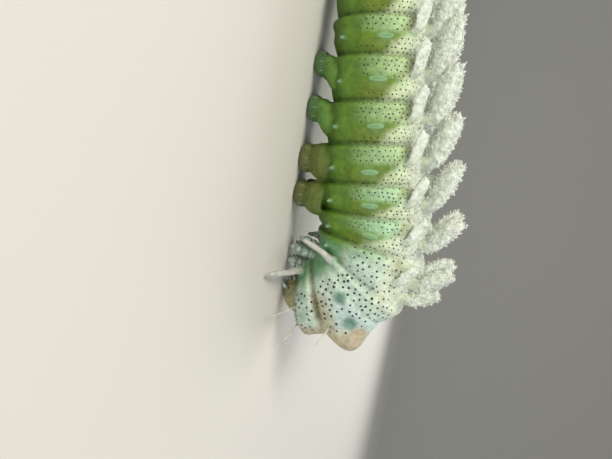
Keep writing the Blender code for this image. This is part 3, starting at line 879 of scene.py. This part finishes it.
# thin smooth horn over the breathing holes: a little paler and glossier than the skin around
plateMaterial = mottledFinish("breathing hole plate", "#84ab77", "#739c69", 0.5, 1.1, 0.05)
# the closed slit in that horn: a shade darker green, so that the eye finds the opening
slitMaterial = mottledFinish("breathing hole slit", "#719b68", "#628e5b", 0.5, 1.1, 0.05)
# head shell of hardened skin: tan to ochre, finely pitted, satin
hornMaterial = mottledFinish("head capsule", "#a6a172", "#837f56", 0.42, 1.0, 0.08, 0.1)
# thick dark horn worn smooth at the edges: red-brown and glossy
jawMaterial = mottledFinish("jaws and claws", "#5a3a22", "#3c2615", 0.3, 1.1, 0.04, 0.3)
# clear lens over dark pigment: black with a sharp glint
eyeMaterial = mottledFinish("eye points", "#1a1512", "#0c0a08", 0.15, 1.1, 0.02, 0.6)
# thin horn sleeves over soft joints: bluish grey-green, wet-looking glints
legMaterial = mottledFinish("banded leg", "#b4c3b3", "#869e8b", 0.26, 1.1, 0.08, 0.4, 0.2)
# narrow rings of darker horn at the joints: grey-green lines with the same wet-looking shine
bandMaterial = mottledFinish("dark leg band", "#63725f", "#46543f", 0.28, 1.1, 0.05, 0.4)
# single stiff hairs of horn: grey, a little glossy along their length
hairMaterial = mottledFinish("pale bristle", "#d8d7ce", "#a9a79b", 0.45, 1.1, 0.02)


# Scatter of small things

fullTurn = 6.283  # radians
patchSize = 0.003  # width of each small form's patch on the map


def scatterTree(spread):
    # puts a form at spread-out points of a surface, or without spread at its own points
    tree = bpy.data.node_groups.new("scatter over the lie" if spread else "set at points", "GeometryNodeTree")
    sockets = (("Surface", "Geometry"), ("Form", "Object"), ("Spacing", "Float"), ("Density", "Float"),
               ("Smallest", "Float"), ("Largest", "Float"), ("Upright", "Float"), ("Lean", "Float"),
               ("Stray", "Float"), ("Seed", "Int"), ("Finish", "Material"))
    for name, kind in sockets:
        tree.interface.new_socket(name, in_out="INPUT", socket_type="NodeSocket" + kind)
    tree.interface.new_socket("Coat", in_out="OUTPUT", socket_type="NodeSocketGeometry")
    given = addNode(tree, "NodeGroupInput").outputs
    zone = addNode(tree, "GeometryNodeInputNamedAttribute", {"Name": "zone"}, data_type="FLOAT")
    size = addNode(tree, "GeometryNodeInputNamedAttribute", {"Name": "size"}, data_type="FLOAT")
    lie = addNode(tree, "GeometryNodeInputNamedAttribute", {"Name": "lie"}, data_type="FLOAT_VECTOR")
    aim = addNode(tree, "ShaderNodeVectorMath", {0: lie.outputs["Attribute"], "Scale": given["Lean"]},
                  operation="SCALE").outputs["Vector"]
    points = given["Surface"]
    if spread:
        found = addNode(tree, "GeometryNodeDistributePointsOnFaces",
                        {"Mesh": given["Surface"], "Distance Min": given["Spacing"],
                         "Density Max": given["Density"], "Density Factor": zone.outputs["Attribute"],
                         "Seed": given["Seed"]}, distribute_method="POISSON")
        points = found.outputs["Points"]
        up = addNode(tree, "ShaderNodeVectorMath", {0: found.outputs["Normal"], "Scale": given["Upright"]},
                     operation="SCALE").outputs["Vector"]
        aim = addNode(tree, "ShaderNodeVectorMath", {0: aim, 1: up}, operation="ADD").outputs["Vector"]
    stray = addNode(tree, "FunctionNodeRandomValue", {0: (-1, -1, -1), 1: (1, 1, 1), "Seed": given["Seed"]},
                    data_type="FLOAT_VECTOR")
    stray = addNode(tree, "ShaderNodeVectorMath", {0: stray.outputs[0], "Scale": given["Stray"]},
                    operation="SCALE").outputs["Vector"]
    aim = addNode(tree, "ShaderNodeVectorMath", {0: aim, 1: stray}, operation="ADD").outputs["Vector"]
    turn = addNode(tree, "FunctionNodeAlignRotationToVector", {"Vector": aim}, axis="Z").outputs["Rotation"]
    spin = addNode(tree, "FunctionNodeRandomValue",
                   {0: (0, 0, 0), 1: (0, 0, fullTurn), "Seed": given["Seed"]}, data_type="FLOAT_VECTOR")
    euler = addNode(tree, "FunctionNodeEulerToRotation", {"Euler": spin.outputs[0]}).outputs["Rotation"]
    spun = addNode(tree, "FunctionNodeRotateRotation", {"Rotation": turn, "Rotate By": euler},
                   rotation_space="LOCAL")
    scale = addNode(tree, "FunctionNodeRandomValue",
                    {2: given["Smallest"], 3: given["Largest"], "Seed": given["Seed"]}, data_type="FLOAT")
    scale = addNode(tree, "ShaderNodeMath", {0: scale.outputs[1], 1: size.outputs["Attribute"]},
                    operation="MULTIPLY")
    form = addNode(tree, "GeometryNodeObjectInfo", {"Object": given["Form"]})
    placed = addNode(tree, "GeometryNodeInstanceOnPoints",
                     {"Points": points, "Instance": form.outputs["Geometry"],
                      "Rotation": spun.outputs["Rotation"], "Scale": scale.outputs["Value"]})
    real = addNode(tree, "GeometryNodeRealizeInstances", {"Geometry": placed.outputs["Instances"]})
    painted = addNode(tree, "GeometryNodeSetMaterial",
                      {"Geometry": real.outputs["Geometry"], "Material": given["Finish"]})
    addNode(tree, "NodeGroupOutput", {"Coat": painted.outputs["Geometry"]})
    return tree


overSurface = scatterTree(True)
atPoints = scatterTree(False)


def scattered(tree, surface, form, name, material, settings):
    # scatters a form and hands the result in as a plain mesh
    carrier = newObject("carrier", surface)
    modifier = carrier.modifiers.new("scatter", "NODES")
    modifier.node_group = tree
    sockets = {item.name: item.identifier for item in tree.interface.items_tree}
    modifier[sockets["Form"]] = form
    modifier[sockets["Finish"]] = material
    for key, value in settings.items():
        modifier[sockets[key]] = value
    mesh = evaluated(carrier)
    root = np.zeros(len(mesh.vertices) * 3, np.float32)
    patch = np.zeros(len(mesh.vertices) * 3, np.float32)
    mesh.attributes["unwrap"].data.foreach_get("vector", root)
    mesh.attributes["patch"].data.foreach_get("vector", patch)
    setMap(mesh, (root + patch).reshape(-1, 3))
    dropAttributes(mesh, ("unwrap", "patch", "zone", "size", "lie", "powder", "skinColor"))
    print(name, "made:", triangles(mesh), "triangles")
    return addPiece(mesh, name, material)


def smallForm(name, points, faces):
    # a form to be scattered, in metres, with its own patch of the map
    points = np.asarray(points, float)
    mesh = newMesh(name, points * 0.001, faces)
    low = points.min(0)
    reach = max(points.max(0) - low)
    patch = np.column_stack(((points[:, 2] - low[2]) / reach, (points[:, 0] - low[0]) / reach,
                             0 * points[:, 0]))
    setPointValues(mesh, "patch", (patch - (0.5, 0.5, 0)) * patchSize, "FLOAT_VECTOR")
    thing = newObject(name, mesh)
    thing.hide_render = True
    return thing


def flakeForm(name, rows, tip):
    # a thin three-sided blade, closed at its root
    points = []
    for z, wide, thick, bend in rows:
        points += [(bend + wide * math.cos(a), thick * math.sin(a), z) for a in (0.4, 2.3, 4.4)]
    points.append(tip)
    faces = [(2, 1, 0)]
    last = 3 * (len(rows) - 1)
    for i in range(0, last, 3):
        faces += [(i + j, i + (j + 1) % 3, i + 3 + (j + 1) % 3, i + 3 + j) for j in range(3)]
    faces += [(last + j, last + (j + 1) % 3, last + 3) for j in range(3)]
    return smallForm(name, points, faces)


def dotForm():
    # a low black point of the cuticle
    turn = np.linspace(0, 2 * np.pi, 8)[:-1]
    rings = [[(radius * math.cos(a), radius * math.sin(a), height) for a in turn]
             for radius, height in ((0.3, -0.08), (0.27, 0.04), (0.15, 0.1))]
    return smallForm("dot", *ringForm(rings))


flake = flakeForm("flake", ((-0.1, 0.26, 0.09, 0.0), (0.55, 0.2, 0.06, 0.05)), (0.16, 0.0, 1.0))
tooth = flakeForm("tooth", ((-0.4, 0.5, 0.26, 0.0), (0.45, 0.36, 0.18, 0.03)), (0.1, 0.0, 1.0))
dot = dotForm()


# Wax of the back and its fingers

wax = {
    "wideBack": 2.25,  # half width of a finger's coat seen from the flank, mm
    "thinBack": 1.65,
    "wideUpper": 1.4,
    "thinUpper": 0.58,
    "widths": (0.66, 0.86, 1.02, 1.06, 0.98, 0.8, 0.42),
    "blanket": 0.9,
    "voxel": 0.275,
    "lumpSize": 0.9,
    "lumpDepth": 0.42,
    "crumbSize": 0.45,
    "crumbDepth": 0.18,
}


def blanketForm():
    # the layer of wax over the back, open where the skin shows between the fingers' roots
    outer = np.linspace(-44, 44, 23)
    inner = outer[::-1][2:-2:3]
    places = np.linspace(1.0, 9.95, 180)
    ends = smoothStep(1.0, 1.6, places) * smoothStep(9.95, 9.6, places)
    gap = backGap(places[:, None], np.abs(outer)[None, :])
    thick = wax["blanket"] * np.outer(ends, smoothStep(46, 16, np.abs(outer))) * (1 - gap) - 0.15 - 0.6 * gap
    grow = np.hstack((thick, np.full((len(places), len(inner)), -1.5)))
    return ringForm(smoothPoint(places[:, None], np.concatenate((outer, inner))[None, :], grow))


def crumble(mesh, amount):
    # clots and crumbs of wax, pushed out along the surface's normals
    co = meshPoints(mesh)
    lump = np.array([noise.voronoi(Vector(p) / wax["lumpSize"])[0][0] for p in co])
    crumb = np.array([noise.noise(Vector(p) / wax["crumbSize"]) for p in co])
    push = amount * (wax["lumpDepth"] * (0.45 - lump) + wax["crumbDepth"] * crumb)
    movePoints(mesh, co + meshPoints(mesh, "normal") * push[:, None])


def makeWax(kindWanted):
    forms = [blanketForm()] if kindWanted == "back" else []
    lines = []
    for row, side, kind in allWaxedFingers():
        if kind != kindWanted:
            continue
        root, out, bend, tip, aim = fingerPath(row, side)
        across = np.cross(aim, out)
        across /= np.linalg.norm(across)
        beside = np.cross(across, aim)
        half = wax["wide" + kind.title()]
        # a back finger stands on edge like a leaf, an upper one lies flat against the skin
        broad, thinWay = (beside, across) if kind == "back" else (across, beside)
        path = [root - out * 0.6] + [bend + (tip - bend) * share for share in (0, 0.28, 0.5, 0.7, 0.84, 0.9)]
        longness = row[4] / backFingers[2][4] if kind == "back" else 1.0
        radii = [half * width * (0.6 + 0.4 * longness) for width in wax["widths"]]
        forms.append(tubeForm(path, radii, 20, 4, wax["thin" + kind.title()] / half, thinWay))
        line = smoothPath(path, 6)
        lines.append(line)
        # lobes that jut from the edges of the leaf-like mass
        bulk = 1.0 if kind == "back" else 0.6
        for i in range(8 if kind == "back" else 5):
            share = 0.3 + 0.7 * i / (7 if kind == "back" else 4)
            at = line[int(share * (len(line) - 1))]
            jut = broad * half * (0.9 - 0.35 * share) * (1 if i % 2 else -0.8) * chance.uniform(0.85, 1.1)
            shift = thinWay * chance.uniform(-0.7, 0.7) * bulk
            end = at + jut * 1.3 + aim * chance.uniform(0.6, 1.2) * bulk + shift
            thick = bulk * np.array((0.85, 0.75, 0.3))
            forms.append(tubeForm([at + shift * 0.5, at + jut * 0.75 + shift, end], thick, 10, 3))
    mesh = oneSurface(*joinForms(forms), wax["voxel"], 2)
    crumble(mesh, 1.0 if kindWanted == "back" else 0.7)
    co = meshPoints(mesh)
    marks = [(number, i / (len(line) - 1)) for number, line in enumerate(lines) for i in range(len(line))]
    tree = kdtree.KDTree(len(marks))
    for i, point in enumerate(np.vstack(lines)):
        tree.insert(point, i)
    tree.balance()
    hits = [tree.find(point) for point in co]
    number, share = np.array([marks[hit[1]] for hit in hits]).T
    number = number.astype(int)
    aims = np.array([line[-1] - line[0] for line in lines])
    aims /= np.linalg.norm(aims, axis=1)[:, None]
    roots = np.array([line[0] for line in lines])
    turn = (np.arctan2(co[:, 1] - roots[number, 1], co[:, 2] - roots[number, 2]) / (2 * np.pi)) % 1.0
    high = 0.79 if kindWanted == "back" else 0.9
    unwrap = np.column_stack(((number + 0.1 + 0.8 * turn) / len(lines), high + 0.09 * share, 0 * share))
    onBlanket = smoothStep(2.6, 3.4, np.array([hit[2] for hit in hits]))
    lie = blend(aims[number], np.tile((-1.0, 0.0, 0.15), (len(co), 1)), onBlanket)
    setPointValues(mesh, "lie", lie, "FLOAT_VECTOR")
    setPointValues(mesh, "unwrap", unwrap, "FLOAT_VECTOR")
    setPointValues(mesh, "size", 1.0 - 0.3 * onBlanket)
    return mesh, co, share, unwrap


def makeWaxPieces(kind, settings):
    mesh, co, share, unwrap = makeWax(kind)
    print(kind, "wax melted:", triangles(mesh), "triangles")
    normal = meshPoints(mesh, "normal")
    toMetres(mesh)
    for hand, mask in (("right", co[:, 1] <= 0), ("left", co[:, 1] > 0)):
        surface = mesh.copy()
        setPointValues(surface, "zone", mask)
        scattered(overSurface, surface, flake, f"{kind}_wax_flakes_{hand}", waxMaterial, settings)
        if kind == "back":
            # teeth stand out along the edges that face the tail and the head, and at the tips
            surface = mesh.copy()
            edge = smoothStep(0.35, 0.75, np.abs(normal[:, 0] * 0.7 + normal[:, 2] * 0.7))
            setPointValues(surface, "zone", mask * np.maximum(edge * 0.8, smoothStep(0.8, 1.0, share)))
            scattered(overSurface, surface, tooth, f"wax_teeth_{hand}", waxMaterial, {
                "Spacing": 0.00085, "Density": 2.2e6, "Smallest": 0.5, "Largest": 0.95,
                "Upright": 0.9, "Lean": 0.5, "Stray": 0.25, "Seed": 31})
    setMap(mesh, unwrap)
    dropAttributes(mesh, ("unwrap", "lie", "zone", "size"))
    addPiece(mesh, f"{kind}_wax", waxMaterial)


makeWaxPieces("back", {"Spacing": 0.00032, "Density": 9e6, "Smallest": 0.3, "Largest": 0.6,
                       "Upright": 0.3, "Lean": 0.85, "Stray": 0.5, "Seed": 5})
makeWaxPieces("upper", {"Spacing": 0.0004, "Density": 6e6, "Smallest": 0.3, "Largest": 0.55,
                        "Upright": 0.25, "Lean": 0.9, "Stray": 0.4, "Seed": 7})


# Black points and powder flakes of the skin

dotRows = {"gap": 1.08, "rowGap": 0.95, "foreGap": 1.6, "foreRowGap": 1.35, "jitter": 0.22, "size": 0.68}


def makeDots():
    surface = BVHTree.FromPolygons(skinCo.tolist(), [tuple(p.vertices) for p in skinMesh.polygons])
    near = kdtree.KDTree(len(skinCo))
    for i, point in enumerate(skinCo):
        near.insert(point, i)
    near.balance()
    points = []
    lies = []
    sizes = []
    unwraps = []
    for k in range(1, lastPlace):
        span = np.linalg.norm(smoothPoint(k + 0.999, 75.0) - smoothPoint(k + 0.001, 75.0))
        rows = round(span / (dotRows["foreRowGap"] if k >= 9 else dotRows["rowGap"]))
        step = math.degrees((dotRows["foreGap"] if k >= 9 else dotRows["gap"]) / bodyFrame(k + 0.5)[3])
        for side in (-1, 1):
            for i in range(rows):
                for angle in np.arange(12 + 0.5 * step * (i % 2), 120, step):
                    stray = chance.uniform(-dotRows["jitter"], dotRows["jitter"], 2)
                    a = side * (angle + stray[0] * step)
                    p = min(k + (i + 0.5 + stray[1]) / rows, lastPlace - 0.01)
                    hit, normal, face, miss = surface.find_nearest(Vector(skinPoint(p, a)))
                    at = near.find(hit)[1]
                    if skinKind[at] != "body" or dotZone[at] < chance.uniform(0.3, 0.75):
                        continue
                    points.append(hit)
                    lies.append(normal)
                    size = 1.0 + 0.35 * (k >= 9) + 0.3 * (k >= 10)
                    size = size - 0.22 * (abs(a) < 52) - 0.2 * (abs(a) > 100)
                    sizes.append(size * chance.uniform(0.8, 1.12))
                    unwraps.append(mapSpot(p, a))
    # tiny dots on the foremost side finger
    spare = np.flatnonzero((skinKind == "longFinger") & (skinAway > 1.2) & (skinCo[:, 0] > 4.5))
    for at in chance.choice(spare, 60, replace=False):
        hit, normal, face, miss = surface.find_nearest(Vector(skinCo[at]))
        points.append(hit)
        lies.append(normal)
        sizes.append(0.42)
        unwraps.append(mapSpot(skinPlace[at], skinAngle[at]))
    mesh = newMesh("dot places", points, [])
    toMetres(mesh)
    setPointValues(mesh, "lie", lies, "FLOAT_VECTOR")
    setPointValues(mesh, "size", sizes)
    setPointValues(mesh, "unwrap", unwraps, "FLOAT_VECTOR")
    scattered(atPoints, mesh, dot, "black_points", dotMaterial, {
        "Smallest": dotRows["size"], "Largest": dotRows["size"], "Lean": 1.0, "Stray": 0.0, "Seed": 1})


makeDots()
toMetres(skinMesh)
backSurface = skinMesh.copy()
backZone = smoothStep(68, 52, np.abs(skinAngle)) * smoothStep(0.8, 1.4, skinPlace)
backZone = backZone * smoothStep(10.6, 10.0, skinPlace)
setPointValues(backSurface, "zone", backZone * (skinKind == "body") * 0.8)
scattered(overSurface, backSurface, flake, "powder_flakes", waxMaterial, {
    "Spacing": 0.0004, "Density": 5e6, "Smallest": 0.25, "Largest": 0.5,
    "Upright": 0.25, "Lean": 0.9, "Stray": 0.4, "Seed": 17})
dropAttributes(skinMesh, ("unwrap", "size", "lie"))
skin = addPiece(skinMesh, "skin", skinMaterial)
fleshKinds = ("abdomen", "thorax", "proleg", "clasper")
fleshNodes = [name for name in frame["nodes"] if name.split("_")[0] in fleshKinds]
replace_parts(skin, *fleshNodes)
for form in (flake, tooth, dot):
    bpy.data.objects.remove(form, do_unlink=True)
print("skin dressed")


# Breathing holes

def ovalPlate(place, angle, halfLong, halfWide, rise, rings=7, sides=28):
    # an oval that lies on the skin, long axis round the body
    out = outward(place, angle)
    turn = np.linspace(0, 2 * np.pi, sides, endpoint=False)
    span = 5 * np.linalg.norm(smoothPoint(place + 0.1, angle) - smoothPoint(place - 0.1, angle))
    kept = []
    for i in range(rings):
        share = 1.0 - i / rings
        lift = rise * (1 - share ** 2.5) - 0.25 * (i == 0)
        around = np.cos(turn) * share * halfLong
        along = np.sin(turn) * share * halfWide
        ring = skinPoint(place + along / span, angle + np.degrees(around / bodyFrame(place)[3]))
        kept.append(ring + out * lift)
    return ringForm(kept)


def makeBreathingHoles():
    plates = []
    slits = []
    for place, angle in breathingHoles["places"]:
        for side in (-1, 1):
            long = breathingHoles["halfLong"]
            rise = breathingHoles["rise"]
            plates.append(ovalPlate(place, side * angle, long, breathingHoles["halfWide"], rise))
            slits.append(ovalPlate(place, side * angle, long * 0.8, breathingHoles["slitWide"],
                                   rise + 0.05, 4, 20))
    finishForms(plates, "breathing_hole_plates", plateMaterial)
    finishForms(slits, "breathing_hole_slits", slitMaterial)


makeBreathingHoles()
print("breathing holes made")


# Head

head = {
    "middle": np.array((15.9, 0.0, 3.5)),
    "long": 4.4,
    "wide": 4.3,
    "deep": 3.1,
    "dip": math.radians(22.0),
    "groove": 0.4,
    "eyes": 6,
    "eyeSize": 0.2,
}
towardsMouth = np.array((-math.cos(head["dip"]), 0.0, -math.sin(head["dip"])))
towardsFace = np.array((math.sin(head["dip"]), 0.0, -math.cos(head["dip"])))
towardsSide = np.array((0.0, -1.0, 0.0))


def headPoint(turn, fore):
    # turn 0 is the middle of the face, fore 0 the crown's pole and 1 the mouth's
    polar = np.pi * (1 - fore)
    z = np.cos(polar)
    x = np.sin(polar) * np.cos(turn)
    y = np.sin(polar) * np.sin(turn)
    narrow = 1.0 - 0.18 * np.maximum(0.0, z)
    # the crown's groove parts into the two seams of the frontal triangle
    groove = head["groove"] * bump(y, 0, 0.16) * (z < 0.0)
    seam = np.abs(np.abs(y) - 0.35 * np.clip(z + 0.2, 0, 1))
    groove = groove + 0.14 * bump(seam, 0, 0.035) * (x > 0) * (z > -0.15)
    cheek = 0.12 * bump(np.abs(y), 0.6, 0.3)
    side = y * (head["wide"] + cheek) * narrow
    deep = x * (head["deep"] + cheek - groove) * narrow
    return (head["middle"] + np.multiply.outer(z * head["long"], towardsMouth)
            + np.multiply.outer(side, towardsSide) + np.multiply.outer(deep, towardsFace))


def makeHead():
    turn = np.linspace(-np.pi, np.pi, 72, endpoint=False)
    rings = [headPoint(turn, fore) for fore in np.linspace(0.02, 0.98, 44)]
    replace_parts(finishForms([ringForm(rings)], "head_capsule", hornMaterial), "head")
    lip = head["middle"] + towardsMouth * (head["long"] - 0.7)
    upperLip = [lip + towardsFace * 0.5 + towardsMouth * d for d in (-0.6, 0.2, 0.75, 1.0)]
    lowerLip = [lip - towardsFace * 0.6 + towardsMouth * d for d in (-0.8, 0.2, 0.9, 1.2)]
    mouth = [tubeForm(upperLip, (1.5, 1.45, 1.1, 0.5), 20, 4, 0.55, towardsFace),
             tubeForm(lowerLip, (1.2, 1.0, 0.6, 0.2), 16, 4, 0.7, towardsFace)]
    jaws = []
    for side in (-1, 1):
        for off, size in ((1.35, 0.42), (0.75, 0.28)):
            root = lip + towardsSide * side * off - towardsFace * 0.5
            aim = towardsMouth + towardsSide * side * 0.12
            path = [root + aim * d for d in (-0.5, 0.35, 0.5, 1.0, 1.15, 1.6)]
            mouth.append(tubeForm(path, size * np.array((1.0, 1.0, 0.7, 0.75, 0.5, 0.2)), 12, 3))
        root = lip + towardsSide * side * 1.15
        path = [root + towardsMouth * d - towardsSide * side * 0.32 * d * d for d in (-0.4, 0.3, 0.8, 1.25)]
        jaws.append(tubeForm(path, (0.62, 0.62, 0.5, 0.2), 14, 4, 0.7, towardsFace))
    finishForms(mouth, "lips_and_palps", legMaterial)
    finishForms(jaws, "jaws", jawMaterial)
    eyes = []
    for side in (-1, 1):
        for i in range(head["eyes"]):
            at = headPoint(np.array([side * (0.98 + 0.34 * math.sin(i * 1.05))]), 0.72 - 0.035 * i)[0]
            out = at - head["middle"]
            out /= np.linalg.norm(out)
            path = [at + out * d * head["eyeSize"] for d in (-0.6, 0.15, 0.5, 0.62)]
            eyes.append(tubeForm(path, head["eyeSize"] * np.array((1.0, 0.95, 0.6, 0.15)), 12, 2))
    finishForms(eyes, "eye_points", eyeMaterial)
    for side, hand in ((1, "right"), (-1, "left")):
        root = head["middle"] + towardsMouth * 2.9 + towardsFace * 1.75 + towardsSide * side * 2.75
        aim = (towardsMouth + towardsSide * side) / math.sqrt(2)
        path = [root + aim * d for d in (-0.5, 0.1, 0.42, 0.5, 0.95, 1.02, 1.5, 1.6)]
        feeler = tubeForm(path, (0.5, 0.48, 0.44, 0.3, 0.3, 0.2, 0.17, 0.05), 14, 2)
        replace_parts(finishForms([feeler], "feeler_" + hand, legMaterial), "antenna_" + hand)


makeHead()
print("head made")


# True legs

# root, knee and claw, thickness at the root
trueLegs = {
    "leg_1": ((8.2, 2.6, 6.0), (7.9, 3.0, 2.3), (7.3, 2.3, 0.5), 1.3),
    "leg_2": ((5.2, 2.9, 7.6), (4.4, 3.3, 3.2), (3.9, 2.5, 0.6), 1.3),
    "leg_3": ((3.4, 4.2, 9.0), (1.5, 4.6, 4.9), (1.5, 3.9, 3.0), 1.1),
}
# share of the way and thickness: swollen joints parted by narrow rings
legRings = (
    (0.0, 1.0), (0.12, 1.06), (0.24, 1.0), (0.3, 0.84), (0.35, 0.86), (0.42, 0.98), (0.5, 0.94), (0.56, 0.7),
    (0.6, 0.72), (0.68, 0.8), (0.76, 0.7), (0.8, 0.52), (0.84, 0.54), (0.9, 0.52), (0.96, 0.38), (1.0, 0.14),
)
legBands = (0.32, 0.58)
legBandHalf = 0.016
clawSteps = (-0.4, 0.2, 0.6, 1.0)
clawRadii = (0.2, 0.16, 0.1, 0.03)


def makeLegs():
    claws = []
    for side, hand in ((1, "right"), (-1, "left")):
        for name, (root, knee, claw, thick) in trueLegs.items():
            corners = [np.array((x, -side * y, z)) for x, y, z in (root, knee, claw)]
            curve = smoothPath([corners[0], corners[0] * 0.4 + corners[1] * 0.6, corners[1],
                                corners[1] * 0.45 + corners[2] * 0.55, corners[2]], 12)
            lengths = np.concatenate(([0], np.cumsum(np.linalg.norm(np.diff(curve, axis=0), axis=1))))
            lengths /= lengths[-1]
            shares = [share for share, size in legRings]
            path = np.column_stack([np.interp(shares, lengths, curve[:, axis]) for axis in range(3)])
            leg = finishForms([tubeForm(path, [size * thick for share, size in legRings], 20, 3)],
                              f"{name}_{hand}_dressed", legMaterial)
            leg.data.materials.append(bandMaterial)
            places = meshPoints(leg.data)
            inFrame = (curve - (layoutMiddle, 0, 0)) * 0.001
            for polygon in leg.data.polygons:
                middle = np.mean([places[i] for i in polygon.vertices], axis=0)
                share = lengths[np.linalg.norm(inFrame - middle, axis=1).argmin()]
                if min(abs(share - band) for band in legBands) < legBandHalf:
                    polygon.material_index = 1
            hook = [curve[-1] + np.array((-d, 0.0, 0.25 * d - 0.5 * d * d)) * 0.55 for d in clawSteps]
            hook = [np.array((p[0], p[1], max(p[2], 0.15))) for p in hook]
            claws.append(tubeForm(hook, clawRadii, 10, 3))
            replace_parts(leg, f"{name}_{hand}")
    finishForms(claws, "leg_claws", jawMaterial)


makeLegs()
print("legs made")


# Bristles and the hooks of the soles

bristles = {
    "thick": 0.17,
    "taper": (1.2, 1.0, 0.7, 0.25),
    "sides": 6,
    "short": 1.1,
    "shortCount": 5,
    "shortRadii": (0.035, 0.03, 0.012),
    "hooks": 12,
    "hookRadii": (0.09, 0.08, 0.06, 0.02),
}
# root place, root angle, reach from the root (x, y, z)
longBristles = (
    (12.97, 83.0, (1.6, -8.4, -4.2)),
    (12.91, 40.0, (5.0, -6.0, -2.9)),
    (11.82, 48.0, (3.6, -3.6, -1.9)),
)


def makeBristles():
    long = []
    for place, angle, reach in longBristles:
        for side in (-1, 1):
            root = skinPoint(place, side * angle)
            reachNow = np.array((reach[0], side * reach[1], reach[2]))
            path = [root - reachNow * 0.08, root + reachNow * 0.35 + (0, 0, 0.25),
                    root + reachNow * 0.7 + (0, 0, 0.25), root + reachNow]
            path = [np.array((p[0], p[1], max(p[2], 0.2))) for p in path]
            long.append(tubeForm(path, bristles["thick"] * np.array(bristles["taper"]), bristles["sides"], 4))
    finishForms(long, "long_bristles", hairMaterial)
    short = []
    hooks = []
    for foot, root, along, across in falseLegs:
        for side in (-1, 1):
            middle = np.array((foot[0], -side * foot[1], 0.0))
            for i in range(bristles["shortCount"]):
                turn = math.pi * (0.12 + 0.76 * i / (bristles["shortCount"] - 1))
                out = np.array((math.cos(turn), -side * math.sin(turn), 0.0))
                at = middle + out * (along * 1.1, across * 1.1, 0) + (0, 0, 2.4)
                end = at + out * bristles["short"] + (0, 0, -0.7 - 0.3 * (i % 2))
                path = [at, at + out * 0.6 * bristles["short"], end]
                short.append(tubeForm(path, bristles["shortRadii"], 5, 3))
            for i in range(bristles["hooks"]):
                turn = math.pi * (0.1 + 0.8 * i / (bristles["hooks"] - 1))
                out = np.array((math.cos(turn), side * math.sin(turn), 0.0))
                at = middle + out * (along * 0.72, across * 0.72, 0)
                path = [at + out * aside + (0, 0, high)
                        for aside, high in ((0, 0.6), (0.2, 0.35), (0.1, 0.12), (-0.15, 0.14))]
                hooks.append(tubeForm(path, bristles["hookRadii"], 6, 2))
    finishForms(short, "short_bristles", hairMaterial)
    finishForms(hooks, "sole_hooks", jawMaterial)


makeBristles()
print("bristles made")


# Floor and light

studio = {"floorColor": "#cfccc3", "wallStart": 0.9, "wallCurve": 0.6, "wallHeight": 1.6, "reach": 3.0,
          "skyColor": "#e6eaec", "skyStrength": 0.42}


def makeStudio():
    rows = [(-studio["reach"], 0.0), (studio["wallStart"], 0.0)]
    curve = studio["wallCurve"]
    for i in range(1, 13):
        a = math.pi / 2 * i / 12
        rows.append((studio["wallStart"] + curve * math.sin(a), curve * (1 - math.cos(a))))
    rows.append((rows[-1][0], studio["wallHeight"]))
    points = [(x, y, z) for y, z in rows for x in (-studio["reach"], studio["reach"])]
    faces = [(2 * i, 2 * i + 1, 2 * i + 3, 2 * i + 2) for i in range(len(rows) - 1)]
    sweep = newObject("floor", newMesh("floor", points, faces))
    material, tree, shader = newFinish("pale studio paper")
    shader.inputs["Base Color"].default_value = linearColor(studio["floorColor"])
    shader.inputs["Roughness"].default_value = 0.9
    sweep.data.materials.append(material)
    sweep.data.polygons.foreach_set("use_smooth", np.ones(len(faces), bool))
    sweep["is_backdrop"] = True


# name, place in metres, aim point, size in metres, power in watts, colour
lights = (
    ("key", (-0.28, -0.26, 0.34), (0.0, 0.0, 0.015), 0.22, 2.1, "#fff8ee"),
    ("fill", (0.3, -0.4, 0.2), (0.0, 0.0, 0.015), 0.4, 1.15, "#f2f5ff"),
    ("rim", (0.05, 0.35, 0.3), (0.0, 0.0, 0.02), 0.3, 1.2, "#ffffff"),
)


def makeLights():
    for name, place, aim, size, power, code in lights:
        data = bpy.data.lights.new(name, "AREA")
        data.size = size
        data.energy = power
        data.color = linearColor(code)[:3]
        lamp = bpy.data.objects.new(name, data)
        bpy.context.scene.collection.objects.link(lamp)
        lamp.location = place
        lamp.rotation_euler = (Vector(aim) - Vector(place)).to_track_quat("-Z", "Y").to_euler()
    world = bpy.data.worlds.new("studio")
    world.use_nodes = True
    back = world.node_tree.nodes["Background"]
    back.inputs["Color"].default_value = linearColor(studio["skyColor"])
    back.inputs["Strength"].default_value = studio["skyStrength"]
    bpy.context.scene.world = world
    bpy.context.scene.view_settings.view_transform = "Standard"


makeStudio()
makeLights()
print("studio made")

low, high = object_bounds()
for kind, box in (("cad", (*cadLow, *cadHigh)), ("visual", (*low, *high))):
    print("boxes:", kind, [round(v * 1000, 1) for v in box])
